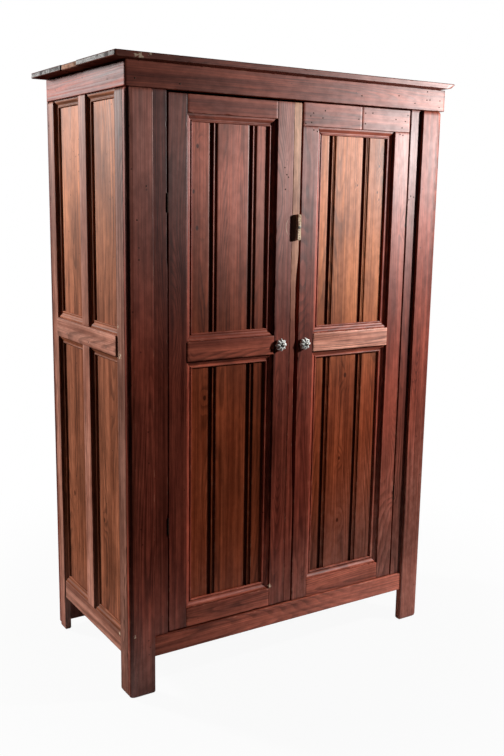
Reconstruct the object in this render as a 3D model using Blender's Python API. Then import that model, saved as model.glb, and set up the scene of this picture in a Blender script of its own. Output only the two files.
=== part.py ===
"""A two-door pine wardrobe, built from its own boards.

Corner posts, panelled sides, a frieze, a back and a top of three boards make the case. Two framed
doors of beaded boards hang on butt hinges. Each has a glass knob, and a turn button on the left door
holds the pair shut.

Units are metres and +Z is up. Pieces are drawn in case coordinates: x runs to the right from the outer
left face, y runs back from the front of the posts, and z runs up from the floor. The empty called case
puts the middle of the whole wardrobe over the origin.
"""

import math

import bmesh
import bpy
from mathutils import Matrix, Vector

# The case as a whole
HEIGHT = 1.800
BODY_WIDTH = 1.102
BODY_DEPTH = 0.570
JOINT_GAP = 0.0003

# Corner posts, which are also the front of the front legs
POST_WIDTH = 0.078
POST_THICKNESS = 0.022
POST_CHAMFER_FRONT = 0.019
POST_CHAMFER_SIDE = 0.010

# Panelled sides
SIDE_THICKNESS = 0.020
FRONT_STILE_WIDTH = 0.049
REAR_STILE_WIDTH = 0.042
MUNTIN_WIDTH = 0.051
SIDE_PANEL_THICKNESS = 0.006
SIDE_BOTTOM_RAIL_RECESS = 0.003
SIDE_MID_RAIL_PROUD = 0.004
SIDE_MID_RAIL_BOTTOM = 1.004
SIDE_MID_RAIL_HEIGHT = 0.058
SIDE_BOTTOM_RAIL_BOTTOM = 0.1185
SIDE_BOTTOM_RAIL_HEIGHT = 0.0595

# Frieze and top
FRIEZE_HEIGHT = 0.065
FRIEZE_THICKNESS = 0.024
FRIEZE_PROUD = 0.004
TOP_THICKNESS = 0.016
TOP_OVERHANG_FRONT = 0.043
TOP_OVERHANG_LEFT = 0.050
TOP_OVERHANG_RIGHT = 0.026
TOP_FRONT_BOARD_WIDTH = 0.254
TOP_MIDDLE_BOARD_WIDTH = 0.119

# Back of tongued boards, nailed behind the rear stiles
BACK_THICKNESS = 0.010
BACK_FLOOR_GAP = 0.014
BACK_BOARD_WIDTH = 0.184
BACK_JOINT_WIDTH = 0.004
BACK_JOINT_DEPTH = 0.003

# Front frame
FRONT_RAIL_BOTTOM = 0.114
FRONT_RAIL_HEIGHT = 0.059
FRONT_RAIL_THICKNESS = 0.020
FRONT_RAIL_RECESS = 0.005
FACE_STRIP_LEFT_WIDTH = 0.045
FACE_STRIP_RIGHT_WIDTH = 0.041
FACE_STRIP_THICKNESS = 0.022

# Floor inside
FLOOR_THICKNESS = 0.016
FLOOR_FRONT_BOARD_WIDTH = 0.267
BEARER_WIDTH = 0.022
BEARER_HEIGHT = 0.026

# Hanging rail
RAIL_DIAMETER = 0.025
RAIL_BELOW_TOP = 0.164
SOCKET_SIZE = 0.060
SOCKET_THICKNESS = 0.018
RAIL_SIDES = 24

# Doors
DOOR_THICKNESS = 0.028
DOOR_RECESS = 0.011
HINGE_STILE_WIDTH = 0.058
MEETING_STILE_WIDTH = 0.056
EDGE_STRIP_WIDTH = 0.026
HINGE_GAP = 0.005
MEETING_GAP = 0.0055
DOOR_TOP_GAP = 0.006
DOOR_BOTTOM_GAP = 0.005
RIGHT_DOOR_DROP = 0.003
RIGHT_TOP_BOARD_RISE = 0.006
LEFT_TOP_RAIL_HEIGHT = 0.049
RIGHT_TOP_RAIL_HEIGHT = 0.067
RIGHT_TOP_RAIL_SPLIT = 0.218
MID_RAIL_ABOVE_DOOR_FOOT = 0.805
MID_RAIL_HEIGHT = 0.056
MID_RAIL_PROUD = 0.002
BOTTOM_RAIL_HEIGHT = 0.057

# Beaded boards in the doors
PANEL_RECESS = 0.0175
PANEL_BOARD_WIDTH = 0.129
LEFT_FIRST_BEAD = 0.079
RIGHT_FIRST_BEAD = 0.053
BEAD_WIDTH = 0.026
BEAD_DEPTH = 0.0085
REED_RADIUS = 0.0035
REED_COUNT = 2
REED_STEPS = 4

# Butt hinges
HINGE_HEIGHT = 0.050
LEAF_WIDTH = 0.020
LEAF_THICKNESS = 0.0015
HINGE_AXIS_PROUD = 0.0006
KNUCKLE_RADIUS = 0.0021
BORE_RADIUS = 0.0013
PIN_RADIUS = 0.0010
PIN_TIP = 0.0015
LEFT_UPPER_HINGE_BELOW_HEAD = 0.288
LEFT_LOWER_HINGE_ABOVE_FOOT = 0.327
RIGHT_UPPER_HINGE_BELOW_HEAD = 0.331
RIGHT_LOWER_HINGE_ABOVE_FOOT = 0.295
HINGE_SIDES = 16

# Glass knobs on their bolts
KNOB_DIAMETER = 0.034
KNOB_LENGTH = 0.018
KNOB_NECK_RADIUS = 0.0085
KNOB_NECK_LENGTH = 0.004
KNOB_FACE_RADIUS = 0.0075
KNOB_LOBES = 8
KNOB_LOBE_DEPTH = 0.0030
KNOB_FROM_STILE_LEFT = 0.020
KNOB_ABOVE_DOOR_FOOT = 0.833
KNOB_SIDES = 32
KNOB_RINGS = 8
BOLT_RADIUS = 0.0022
BOLT_HEAD_RADIUS = 0.0045
BOLT_HEAD_HEIGHT = 0.002
NUT_RADIUS = 0.006
NUT_THICKNESS = 0.004
BOLT_SIDES = 12

# Turn button on the left door
BUTTON_LENGTH = 0.076
BUTTON_WIDTH = 0.0125
BUTTON_THICKNESS = 0.013
BUTTON_FROM_STRIP_EDGE = 0.0084
BUTTON_BELOW_HEAD = 0.355
BUTTON_END_STEPS = 6
SCREW_RADIUS = 0.0022
SCREW_HEAD_RADIUS = 0.0045
SCREW_HEAD_HEIGHT = 0.002
SCREW_IN_STRIP = 0.015

# How far a drill runs past a face, and the angle that keeps an edge sharp
DRILL_OVERSHOOT = 0.002
SHARP_ANGLE = math.radians(40)

# Lines that several pieces share
TOP_UNDERSIDE = HEIGHT - TOP_THICKNESS
FRIEZE_BOTTOM = TOP_UNDERSIDE - FRIEZE_HEIGHT
FRIEZE_BACK = FRIEZE_THICKNESS - FRIEZE_PROUD
BACK_FRONT = BODY_DEPTH - BACK_THICKNESS
FRONT_STILE_FRONT = POST_THICKNESS + JOINT_GAP
FRONT_STILE_BACK = FRONT_STILE_FRONT + FRONT_STILE_WIDTH
REAR_STILE_BACK = BACK_FRONT - JOINT_GAP
REAR_STILE_FRONT = REAR_STILE_BACK - REAR_STILE_WIDTH
PANEL_OUTSIDE = SIDE_THICKNESS - SIDE_PANEL_THICKNESS
SIDE_BOTTOM_RAIL_TOP = SIDE_BOTTOM_RAIL_BOTTOM + SIDE_BOTTOM_RAIL_HEIGHT
FRONT_RAIL_TOP = FRONT_RAIL_BOTTOM + FRONT_RAIL_HEIGHT
FRONT_RAIL_BACK = FRONT_RAIL_RECESS + FRONT_RAIL_THICKNESS
OPENING_LEFT = POST_WIDTH + JOINT_GAP + FACE_STRIP_LEFT_WIDTH
OPENING_RIGHT = BODY_WIDTH - POST_WIDTH - JOINT_GAP - FACE_STRIP_RIGHT_WIDTH
DOOR_BACK = DOOR_RECESS + DOOR_THICKNESS
DOOR_TOP = FRIEZE_BOTTOM - DOOR_TOP_GAP
DOOR_FOOT = FRONT_RAIL_TOP + DOOR_BOTTOM_GAP
RAIL_HEIGHT = TOP_UNDERSIDE - RAIL_BELOW_TOP
BUTTON_HEIGHT = DOOR_TOP - BUTTON_BELOW_HEAD
HINGE_AXIS_Y = DOOR_RECESS - HINGE_AXIS_PROUD
CENTRE_X = (BODY_WIDTH + TOP_OVERHANG_RIGHT - TOP_OVERHANG_LEFT) / 2
CENTRE_Y = (BODY_DEPTH - TOP_OVERHANG_FRONT) / 2


def clear_scene():
    """Remove what the file holds."""
    for old in list(bpy.data.objects):
        bpy.data.objects.remove(old, do_unlink=True)


def finish(name, colour, roughness, metallic=0.0, transmission=0.0):
    """Return a plain material of one colour."""
    material = bpy.data.materials.new(name)
    material.use_nodes = True
    shader = material.node_tree.nodes["Principled BSDF"]
    shader.inputs["Base Color"].default_value = (*colour, 1.0)
    shader.inputs["Roughness"].default_value = roughness
    shader.inputs["Metallic"].default_value = metallic
    shader.inputs["Transmission Weight"].default_value = transmission
    return material


class Carrier:
    """An empty that carries pieces, with its place in case coordinates."""

    def __init__(self, name, place, parent=None):
        self.place = Vector(place)
        self.empty = bpy.data.objects.new(name, None)
        bpy.context.collection.objects.link(self.empty)
        if parent:
            self.empty.parent = parent.empty
            self.empty.location = self.place - parent.place

    def add(self, name, mesh, material, smooth=False):
        """Add a mesh drawn in case coordinates as a piece, with its origin in its middle."""
        corners = [vertex.co for vertex in mesh.vertices]
        middle = Vector([(min(axis) + max(axis)) / 2 for axis in zip(*corners)])
        mesh.name = name
        mesh.transform(Matrix.Translation(-middle))
        mesh.materials.clear()
        mesh.materials.append(material)
        if smooth:
            mesh.shade_smooth()
            mesh.set_sharp_from_angle(angle=SHARP_ANGLE)
        piece = bpy.data.objects.new(name, mesh)
        piece.parent = self.empty
        piece.location = middle - self.place
        bpy.context.collection.objects.link(piece)
        return piece


def mesh_from(bm):
    """Turn a bmesh into a mesh whose faces point out."""
    bmesh.ops.recalc_face_normals(bm, faces=bm.faces)
    mesh = bpy.data.meshes.new("piece")
    bm.to_mesh(mesh)
    bm.free()
    return mesh


def prism(outline, axis, span):
    """Extrude an outline along an axis. Its points give the other two axes, in x, y, z order."""
    bm = bmesh.new()
    place = "xyz".index(axis)

    def corner(point, along):
        coordinates = list(point)
        coordinates.insert(place, along)
        return bm.verts.new(coordinates)

    rings = [[corner(point, along) for point in outline] for along in span]
    for ring in rings:
        bm.faces.new(ring)
    for index in range(len(outline)):
        following = (index + 1) % len(outline)
        bm.faces.new([rings[0][index], rings[0][following], rings[1][following], rings[1][index]])
    return mesh_from(bm)


def board(x, y, z):
    """A plain board between two places on each axis."""
    return prism([(x[0], y[0]), (x[1], y[0]), (x[1], y[1]), (x[0], y[1])], "z", z)


def turned(profile, place, axis, sides, hollow=False, radius_at=None):
    """Turn a profile of radius and height pairs about an axis through a place."""
    bm = bmesh.new()
    turn = Vector((0, 0, 1)).rotation_difference(axis).to_matrix().to_4x4()
    move = Matrix.Translation(place) @ turn
    rings = []
    for radius, height in profile:
        if radius == 0:
            rings.append([bm.verts.new(move @ Vector((0, 0, height)))])
            continue
        ring = []
        for index in range(sides):
            angle = 2 * math.pi * index / sides
            reach = radius_at(radius, angle) if radius_at else radius
            place_on_ring = Vector((reach * math.cos(angle), reach * math.sin(angle), height))
            ring.append(bm.verts.new(move @ place_on_ring))
        rings.append(ring)
    following_rings = rings[1:] + rings[:1] if hollow else rings[1:]
    for ring, following in zip(rings, following_rings):
        for index in range(sides):
            after = (index + 1) % sides
            loop = [ring[index % len(ring)], ring[after % len(ring)]]
            loop += [following[after % len(following)], following[index % len(following)]]
            bm.faces.new(list(dict.fromkeys(loop)))
    return mesh_from(bm)


def cylinder(radius, span, place, axis, sides):
    """A solid cylinder along an axis."""
    profile = [(0, span[0]), (radius, span[0]), (radius, span[1]), (0, span[1])]
    return turned(profile, place, axis, sides)


def combine(base, tool, operation):
    """Return base with tool joined to it (UNION) or cut from it (DIFFERENCE)."""
    work = bpy.data.objects.new("work", base)
    other = bpy.data.objects.new("tool", tool)
    bpy.context.collection.objects.link(work)
    bpy.context.collection.objects.link(other)
    modifier = work.modifiers.new("combine", "BOOLEAN")
    modifier.operation = operation
    modifier.object = other
    evaluated = work.evaluated_get(bpy.context.evaluated_depsgraph_get())
    result = bpy.data.meshes.new_from_object(evaluated)
    for helper in (work, other):
        bpy.data.objects.remove(helper)
    return result


def between(low, high):
    """The span between two neighbours, less the joint at each end."""
    return low + JOINT_GAP, high - JOINT_GAP


def mirror_span(side, near, far):
    """An x span given inward from one outer face of the case."""
    if side == "left":
        return near, far
    return BODY_WIDTH - far, BODY_WIDTH - near


def mirror_outline(side, outline):
    """Outline points whose first number is given inward from one outer face of the case."""
    if side == "left":
        return outline
    return [(BODY_WIDTH - first, second) for first, second in outline]


def add_post(case, side, wood):
    """The chamfered board at a front corner, from the floor to the frieze."""
    outline = [
        (0, POST_CHAMFER_SIDE),
        (POST_CHAMFER_FRONT, 0),
        (POST_WIDTH, 0),
        (POST_WIDTH, POST_THICKNESS),
        (0, POST_THICKNESS),
    ]
    mesh = prism(mirror_outline(side, outline), "z", (0, FRIEZE_BOTTOM - JOINT_GAP))
    case.add(f"post_{side}", mesh, wood)


def add_side_frame(case, side, wood):
    """Stiles that reach the floor, the bottom rail, the panel and the side frieze."""
    full = mirror_span(side, 0, SIDE_THICKNESS)
    stile_height = (0, FRIEZE_BOTTOM - JOINT_GAP)
    front = (FRONT_STILE_FRONT, FRONT_STILE_BACK)
    rear = (REAR_STILE_FRONT, REAR_STILE_BACK)
    case.add(f"side_front_stile_{side}", board(full, front, stile_height), wood)
    case.add(f"side_rear_stile_{side}", board(full, rear, stile_height), wood)
    inside = between(FRONT_STILE_BACK, REAR_STILE_FRONT)
    rail = mirror_span(side, SIDE_BOTTOM_RAIL_RECESS, SIDE_THICKNESS)
    rail_height = (SIDE_BOTTOM_RAIL_BOTTOM, SIDE_BOTTOM_RAIL_TOP)
    case.add(f"side_bottom_rail_{side}", board(rail, inside, rail_height), wood)
    panel = mirror_span(side, PANEL_OUTSIDE, SIDE_THICKNESS)
    panel_height = between(SIDE_BOTTOM_RAIL_TOP, FRIEZE_BOTTOM)
    case.add(f"side_panel_{side}", board(panel, inside, panel_height), wood)
    frieze = mirror_span(side, -FRIEZE_PROUD, SIDE_THICKNESS)
    frieze_depth = between(FRIEZE_BACK, BACK_FRONT)
    frieze_height = (FRIEZE_BOTTOM, TOP_UNDERSIDE - JOINT_GAP)
    case.add(f"side_frieze_{side}", board(frieze, frieze_depth, frieze_height), wood)


def add_side_bars(case, side, wood):
    """The muntin and the mid rail on the panel, halved over each other where they cross."""
    depth = PANEL_OUTSIDE - JOINT_GAP
    lap = depth / 2
    low = SIDE_MID_RAIL_BOTTOM
    high = low + SIDE_MID_RAIL_HEIGHT
    foot, head = between(SIDE_BOTTOM_RAIL_TOP, FRIEZE_BOTTOM)
    middle = (FRONT_STILE_BACK + REAR_STILE_FRONT) / 2
    muntin = (middle - MUNTIN_WIDTH / 2, middle + MUNTIN_WIDTH / 2)
    notched_height = [
        (0, foot),
        (depth, foot),
        (depth, head),
        (0, head),
        (0, high + JOINT_GAP),
        (lap + JOINT_GAP, high + JOINT_GAP),
        (lap + JOINT_GAP, low - JOINT_GAP),
        (0, low - JOINT_GAP),
    ]
    case.add(f"side_muntin_{side}", prism(mirror_outline(side, notched_height), "y", muntin), wood)
    front, rear = between(FRONT_STILE_BACK, REAR_STILE_FRONT)
    notched_plan = [
        (-SIDE_MID_RAIL_PROUD, front),
        (depth, front),
        (depth, muntin[0] - JOINT_GAP),
        (lap, muntin[0] - JOINT_GAP),
        (lap, muntin[1] + JOINT_GAP),
        (depth, muntin[1] + JOINT_GAP),
        (depth, rear),
        (-SIDE_MID_RAIL_PROUD, rear),
    ]
    case.add(f"side_mid_rail_{side}", prism(mirror_outline(side, notched_plan), "z", (low, high)), wood)


def add_front_frame(case, wood):
    """The frieze over the doors, the rail under them and the strip beside each post."""
    width = (-FRIEZE_PROUD, BODY_WIDTH + FRIEZE_PROUD)
    depth = (-FRIEZE_PROUD, FRIEZE_BACK)
    case.add("front_frieze", board(width, depth, (FRIEZE_BOTTOM, TOP_UNDERSIDE - JOINT_GAP)), wood)
    posts = between(POST_WIDTH, BODY_WIDTH - POST_WIDTH)
    rail_depth = (FRONT_RAIL_RECESS, FRONT_RAIL_BACK)
    case.add("front_bottom_rail", board(posts, rail_depth, (FRONT_RAIL_BOTTOM, FRONT_RAIL_TOP)), wood)
    strip_depth = (DOOR_RECESS, DOOR_RECESS + FACE_STRIP_THICKNESS)
    strip_height = between(FRONT_RAIL_TOP, FRIEZE_BOTTOM)
    case.add("face_strip_left", board((posts[0], OPENING_LEFT), strip_depth, strip_height), wood)
    case.add("face_strip_right", board((OPENING_RIGHT, posts[1]), strip_depth, strip_height), wood)


def add_top(case, wood, new_wood):
    """Three boards, with a newer one in the middle."""
    width = (-TOP_OVERHANG_LEFT, BODY_WIDTH + TOP_OVERHANG_RIGHT)
    height = (TOP_UNDERSIDE, HEIGHT)
    front = -TOP_OVERHANG_FRONT
    first = front + TOP_FRONT_BOARD_WIDTH
    second = first + JOINT_GAP + TOP_MIDDLE_BOARD_WIDTH
    case.add("top_board_front", board(width, (front, first), height), wood)
    case.add("top_board_middle", board(width, (first + JOINT_GAP, second), height), new_wood)
    case.add("top_board_rear", board(width, (second + JOINT_GAP, BODY_DEPTH), height), wood)


def add_back(case, wood):
    """Upright tongued boards, glued up as one panel with a groove at each joint."""
    outline = [(0, BACK_FRONT), (BODY_WIDTH, BACK_FRONT), (BODY_WIDTH, BODY_DEPTH)]
    joint = BODY_WIDTH - BACK_BOARD_WIDTH
    while joint > BACK_JOINT_WIDTH:
        outline.append((joint + BACK_JOINT_WIDTH / 2, BODY_DEPTH))
        outline.append((joint, BODY_DEPTH - BACK_JOINT_DEPTH))
        outline.append((joint - BACK_JOINT_WIDTH / 2, BODY_DEPTH))
        joint -= BACK_BOARD_WIDTH
    outline.append((0, BODY_DEPTH))
    case.add("back_panel", prism(outline, "z", (BACK_FLOOR_GAP, TOP_UNDERSIDE - JOINT_GAP)), wood)


def add_floor(case, wood):
    """Two floor boards on a bearer along each side."""
    width = between(SIDE_THICKNESS, BODY_WIDTH - SIDE_THICKNESS)
    height = (FRONT_RAIL_TOP - FLOOR_THICKNESS, FRONT_RAIL_TOP)
    front, rear = between(FRONT_RAIL_BACK, BACK_FRONT)
    joint = front + FLOOR_FRONT_BOARD_WIDTH
    case.add("floor_board_front", board(width, (front, joint), height), wood)
    case.add("floor_board_rear", board(width, (joint + JOINT_GAP, rear), height), wood)
    bearer_top = height[0] - JOINT_GAP
    for side in ("left", "right"):
        near = SIDE_THICKNESS + JOINT_GAP
        bearer = mirror_span(side, near, near + BEARER_WIDTH)
        mesh = board(bearer, (front, rear), (bearer_top - BEARER_HEIGHT, bearer_top))
        case.add(f"floor_bearer_{side}", mesh, wood)


def add_hanging_rail(case, wood):
    """A round rail that drops into a slotted block on each side."""
    middle = (POST_THICKNESS + BACK_FRONT) / 2
    radius = RAIL_DIAMETER / 2
    start, end = between(SIDE_THICKNESS, BODY_WIDTH - SIDE_THICKNESS)
    mesh = cylinder(radius, (start, end), (0, middle, RAIL_HEIGHT), Vector((1, 0, 0)), RAIL_SIDES)
    case.add("hanging_rail", mesh, wood, smooth=True)
    slot = radius + JOINT_GAP
    half = SOCKET_SIZE / 2
    outline = [(middle - half, RAIL_HEIGHT + half), (middle - half, RAIL_HEIGHT - half)]
    outline += [(middle + half, RAIL_HEIGHT - half), (middle + half, RAIL_HEIGHT + half)]
    for step in range(RAIL_SIDES // 2 + 1):
        angle = -2 * math.pi * step / RAIL_SIDES
        place = (middle + slot * math.cos(angle), RAIL_HEIGHT + slot * math.sin(angle))
        if step == 0:
            outline.append((place[0], RAIL_HEIGHT + half))
        outline.append(place)
    outline.append((middle - slot, RAIL_HEIGHT + half))
    for side in ("left", "right"):
        near = SIDE_THICKNESS + JOINT_GAP
        block = mirror_span(side, near, near + SOCKET_THICKNESS)
        case.add(f"rail_socket_{side}", prism(outline, "x", block), wood)


def panel_outline(x, first_bead):
    """The beaded boards in plan: flats with a sunk, reeded bead along each joint."""
    front = DOOR_RECESS + PANEL_RECESS
    outline = [(x[0], front)]
    start = x[0] + first_bead
    while start + BEAD_WIDTH < x[1]:
        end = start + BEAD_WIDTH
        sunk = front + BEAD_DEPTH
        outline += [(start, front), (start, sunk)]
        for reed in reversed(range(REED_COUNT)):
            centre = end - (2 * reed + 1) * REED_RADIUS
            for step in range(REED_STEPS + 1):
                angle = math.pi * step / REED_STEPS
                reach = REED_RADIUS - (JOINT_GAP if step in (0, REED_STEPS) else 0)
                outline.append((centre - reach * math.cos(angle), sunk - REED_RADIUS * math.sin(angle)))
        outline += [(end, sunk), (end, front)]
        start += PANEL_BOARD_WIDTH
    return outline + [(x[1], front), (x[1], DOOR_BACK), (x[0], DOOR_BACK)]


def add_hinge(case, door, side, level, height, axis_x, iron):
    """One butt hinge: the frame leaf with its pin and outer knuckles, and the door leaf."""
    low = height - HINGE_HEIGHT / 2
    high = height + HINGE_HEIGHT / 2
    third = HINGE_HEIGHT / 3
    axis = Vector((0, 0, 1))
    place = (axis_x, HINGE_AXIS_Y, 0)
    inward = 1 if side == "left" else -1
    near = HINGE_GAP / 2 - JOINT_GAP
    frame_leaf = sorted((axis_x - inward * near, axis_x - inward * (near - LEAF_THICKNESS)))
    door_leaf = sorted((axis_x + inward * near, axis_x + inward * (near - LEAF_THICKNESS)))
    front = HINGE_AXIS_Y + KNUCKLE_RADIUS + JOINT_GAP
    rear = front + LEAF_WIDTH
    tab = HINGE_AXIS_Y + (BORE_RADIUS + KNUCKLE_RADIUS) / 2
    lower_end = low + third - JOINT_GAP
    upper_end = high - third + JOINT_GAP
    barrel = [
        (0, low - PIN_TIP),
        (PIN_RADIUS, low - PIN_TIP),
        (PIN_RADIUS, low),
        (KNUCKLE_RADIUS, low),
        (KNUCKLE_RADIUS, lower_end),
        (PIN_RADIUS, lower_end),
        (PIN_RADIUS, upper_end),
        (KNUCKLE_RADIUS, upper_end),
        (KNUCKLE_RADIUS, high),
        (PIN_RADIUS, high),
        (PIN_RADIUS, high + PIN_TIP),
        (0, high + PIN_TIP),
    ]
    comb = [(rear, low), (rear, high), (tab, high), (tab, upper_end)]
    comb += [(front, upper_end), (front, lower_end), (tab, lower_end), (tab, low)]
    mesh = combine(prism(comb, "x", frame_leaf), turned(barrel, place, axis, HINGE_SIDES), "UNION")
    case.add(f"{side}_{level}_hinge_frame_leaf", mesh, iron, smooth=True)
    knuckle = (low + third, high - third)
    tube = [(BORE_RADIUS, knuckle[0]), (KNUCKLE_RADIUS, knuckle[0])]
    tube += [(KNUCKLE_RADIUS, knuckle[1]), (BORE_RADIUS, knuckle[1])]
    tongue = [(rear, low), (rear, high), (front, high), (front, knuckle[1])]
    tongue += [(tab, knuckle[1]), (tab, knuckle[0]), (front, knuckle[0]), (front, low)]
    ring = turned(tube, place, axis, HINGE_SIDES, hollow=True)
    mesh = combine(prism(tongue, "x", door_leaf), ring, "UNION")
    door.add(f"{side}_{level}_hinge_door_leaf", mesh, iron, smooth=True)


def knob_profile():
    """The glass knob along its bolt hole: a neck, then a melon, from the door outward."""
    hole = BOLT_RADIUS + JOINT_GAP
    bulb = KNOB_DIAMETER / 2
    length = KNOB_LENGTH - KNOB_NECK_LENGTH
    profile = [(hole, 0), (KNOB_NECK_RADIUS, 0)]
    start = math.asin(KNOB_NECK_RADIUS / bulb)
    stop = math.pi - math.asin(KNOB_FACE_RADIUS / bulb)
    for ring in range(KNOB_RINGS + 1):
        angle = start + (stop - start) * ring / KNOB_RINGS
        reach = math.cos(start) - math.cos(angle)
        share = reach / (math.cos(start) - math.cos(stop))
        profile.append((bulb * math.sin(angle), KNOB_NECK_LENGTH + length * share))
    return profile + [(hole, KNOB_LENGTH)]


def lobed(radius, angle):
    """Draw the knob in between its lobes, most where it is widest."""
    bulb = KNOB_DIAMETER / 2
    share = max(0.0, (radius - KNOB_NECK_RADIUS) / (bulb - KNOB_NECK_RADIUS))
    return radius - share * KNOB_LOBE_DEPTH * (0.5 - 0.5 * math.cos(KNOB_LOBES * angle))


def add_knob(door, side, place, glass, steel):
    """A fluted glass knob and the bolt that runs through it and the stile to a nut inside."""
    outward = Vector((0, -1, 0))
    mesh = turned(knob_profile(), place, outward, KNOB_SIDES, hollow=True, radius_at=lobed)
    door.add(f"{side}_glass_knob", mesh, glass, smooth=True)
    head = KNOB_LENGTH + JOINT_GAP
    nut = -DOOR_THICKNESS - 2 * JOINT_GAP
    profile = [
        (0, nut - NUT_THICKNESS),
        (NUT_RADIUS, nut - NUT_THICKNESS),
        (NUT_RADIUS, nut),
        (BOLT_RADIUS, nut),
        (BOLT_RADIUS, head),
        (BOLT_HEAD_RADIUS, head),
        (BOLT_HEAD_RADIUS, head + BOLT_HEAD_HEIGHT / 2),
        (BOLT_HEAD_RADIUS / 2, head + BOLT_HEAD_HEIGHT),
        (0, head + BOLT_HEAD_HEIGHT),
    ]
    door.add(f"{side}_knob_bolt", turned(profile, place, outward, BOLT_SIDES), steel, smooth=True)


def drilled(mesh, radius, place, depth):
    """Cut a round hole straight back from a place on a door's face."""
    drill = cylinder(radius, (-DRILL_OVERSHOOT, depth), place, Vector((0, 1, 0)), BOLT_SIDES)
    return combine(mesh, drill, "DIFFERENCE")


def add_door(case, side, hinge_x, first_bead, drop, wood, iron, glass, steel):
    """One framed door on its hinge axis. Returns its carrier and the x span of its frame."""
    door = Carrier(f"{side}_door", (hinge_x, HINGE_AXIS_Y, 0), case)
    depth = (DOOR_RECESS, DOOR_BACK)
    foot = DOOR_FOOT - drop
    head = DOOR_TOP - drop
    if side == "right":
        head += RIGHT_TOP_BOARD_RISE
    stiles = HINGE_STILE_WIDTH + MEETING_STILE_WIDTH
    clear = OPENING_RIGHT - OPENING_LEFT - 2 * HINGE_GAP - MEETING_GAP - EDGE_STRIP_WIDTH - JOINT_GAP
    width = clear / 2
    hinge_edge = OPENING_LEFT + HINGE_GAP if side == "left" else OPENING_RIGHT - HINGE_GAP - width
    frame = (hinge_edge, hinge_edge + width)
    left_stile, right_stile = HINGE_STILE_WIDTH, MEETING_STILE_WIDTH
    left_name, right_name = "hinge", "meeting"
    if side == "right":
        left_stile, right_stile = right_stile, left_stile
        left_name, right_name = right_name, left_name
    inner = (frame[0] + left_stile, frame[0] + left_stile + width - stiles)
    top_rail = LEFT_TOP_RAIL_HEIGHT if side == "left" else RIGHT_TOP_RAIL_HEIGHT
    rail_bottom = head - top_rail
    stile_head = head if side == "left" else rail_bottom - JOINT_GAP

    spans = {left_name: (frame[0], inner[0]), right_name: (inner[1], frame[1])}
    knob = Vector((spans["meeting"][0] + KNOB_FROM_STILE_LEFT, DOOR_RECESS, foot + KNOB_ABOVE_DOOR_FOOT))
    for name, span in spans.items():
        mesh = board(span, depth, (foot, stile_head))
        if name == "meeting":
            mesh = drilled(mesh, BOLT_RADIUS + JOINT_GAP, knob, DOOR_THICKNESS + DRILL_OVERSHOOT)
        door.add(f"{side}_door_{name}_stile", mesh, wood)

    opening = between(*inner)
    if side == "left":
        door.add("left_door_top_rail", board(opening, depth, (rail_bottom, head)), wood)
    else:
        split = frame[0] + RIGHT_TOP_RAIL_SPLIT
        first = (frame[0], split - JOINT_GAP / 2)
        second = (split + JOINT_GAP / 2, frame[1])
        door.add("right_door_top_board_inner", board(first, depth, (rail_bottom, head)), wood)
        door.add("right_door_top_board_outer", board(second, depth, (rail_bottom, head)), wood)
    mid = foot + MID_RAIL_ABOVE_DOOR_FOOT
    mid_depth = (DOOR_RECESS - MID_RAIL_PROUD, DOOR_RECESS + PANEL_RECESS - JOINT_GAP)
    door.add(f"{side}_door_mid_rail", board(opening, mid_depth, (mid, mid + MID_RAIL_HEIGHT)), wood)
    bottom = foot + BOTTOM_RAIL_HEIGHT
    door.add(f"{side}_door_bottom_rail", board(opening, depth, (foot, bottom)), wood)
    panel = prism(panel_outline(opening, first_bead), "z", between(bottom, rail_bottom))
    door.add(f"{side}_door_panel", panel, wood)

    if side == "left":
        upper, lower = head - LEFT_UPPER_HINGE_BELOW_HEAD, foot + LEFT_LOWER_HINGE_ABOVE_FOOT
    else:
        upper, lower = head - RIGHT_UPPER_HINGE_BELOW_HEAD, foot + RIGHT_LOWER_HINGE_ABOVE_FOOT
    add_hinge(case, door, side, "upper", upper, hinge_x, iron)
    add_hinge(case, door, side, "lower", lower, hinge_x, iron)
    knob.y -= JOINT_GAP
    add_knob(door, side, knob, glass, steel)
    return door, frame


def add_button(door, strip, wood, steel):
    """The turn button on the left door's edge strip, and its pivot screw."""
    pivot = Vector((strip[1] - BUTTON_FROM_STRIP_EDGE, DOOR_RECESS - JOINT_GAP, BUTTON_HEIGHT))
    button = Carrier("turn_button_pivot", pivot, door)
    radius = BUTTON_WIDTH / 2
    reach = BUTTON_LENGTH / 2 - radius
    outline = []
    for end in (0, 1):
        for step in range(BUTTON_END_STEPS + 1):
            angle = math.pi * (end + step / BUTTON_END_STEPS)
            rise = reach if end == 0 else -reach
            outline.append((pivot.x + radius * math.cos(angle), pivot.z + rise + radius * math.sin(angle)))
    bar = prism(outline, "y", (pivot.y - BUTTON_THICKNESS, pivot.y))
    front = (pivot.x, pivot.y - BUTTON_THICKNESS, pivot.z)
    through = BUTTON_THICKNESS + DRILL_OVERSHOOT
    button.add("turn_button", drilled(bar, SCREW_RADIUS + JOINT_GAP, front, through), wood)
    head = JOINT_GAP
    profile = [
        (0, -BUTTON_THICKNESS - SCREW_IN_STRIP),
        (SCREW_RADIUS, -BUTTON_THICKNESS - SCREW_IN_STRIP),
        (SCREW_RADIUS, head),
        (SCREW_HEAD_RADIUS, head),
        (SCREW_HEAD_RADIUS, head + SCREW_HEAD_HEIGHT / 2),
        (SCREW_HEAD_RADIUS / 2, head + SCREW_HEAD_HEIGHT),
        (0, head + SCREW_HEAD_HEIGHT),
    ]
    mesh = turned(profile, front, Vector((0, -1, 0)), BOLT_SIDES)
    door.add("turn_button_screw", mesh, steel, smooth=True)


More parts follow.
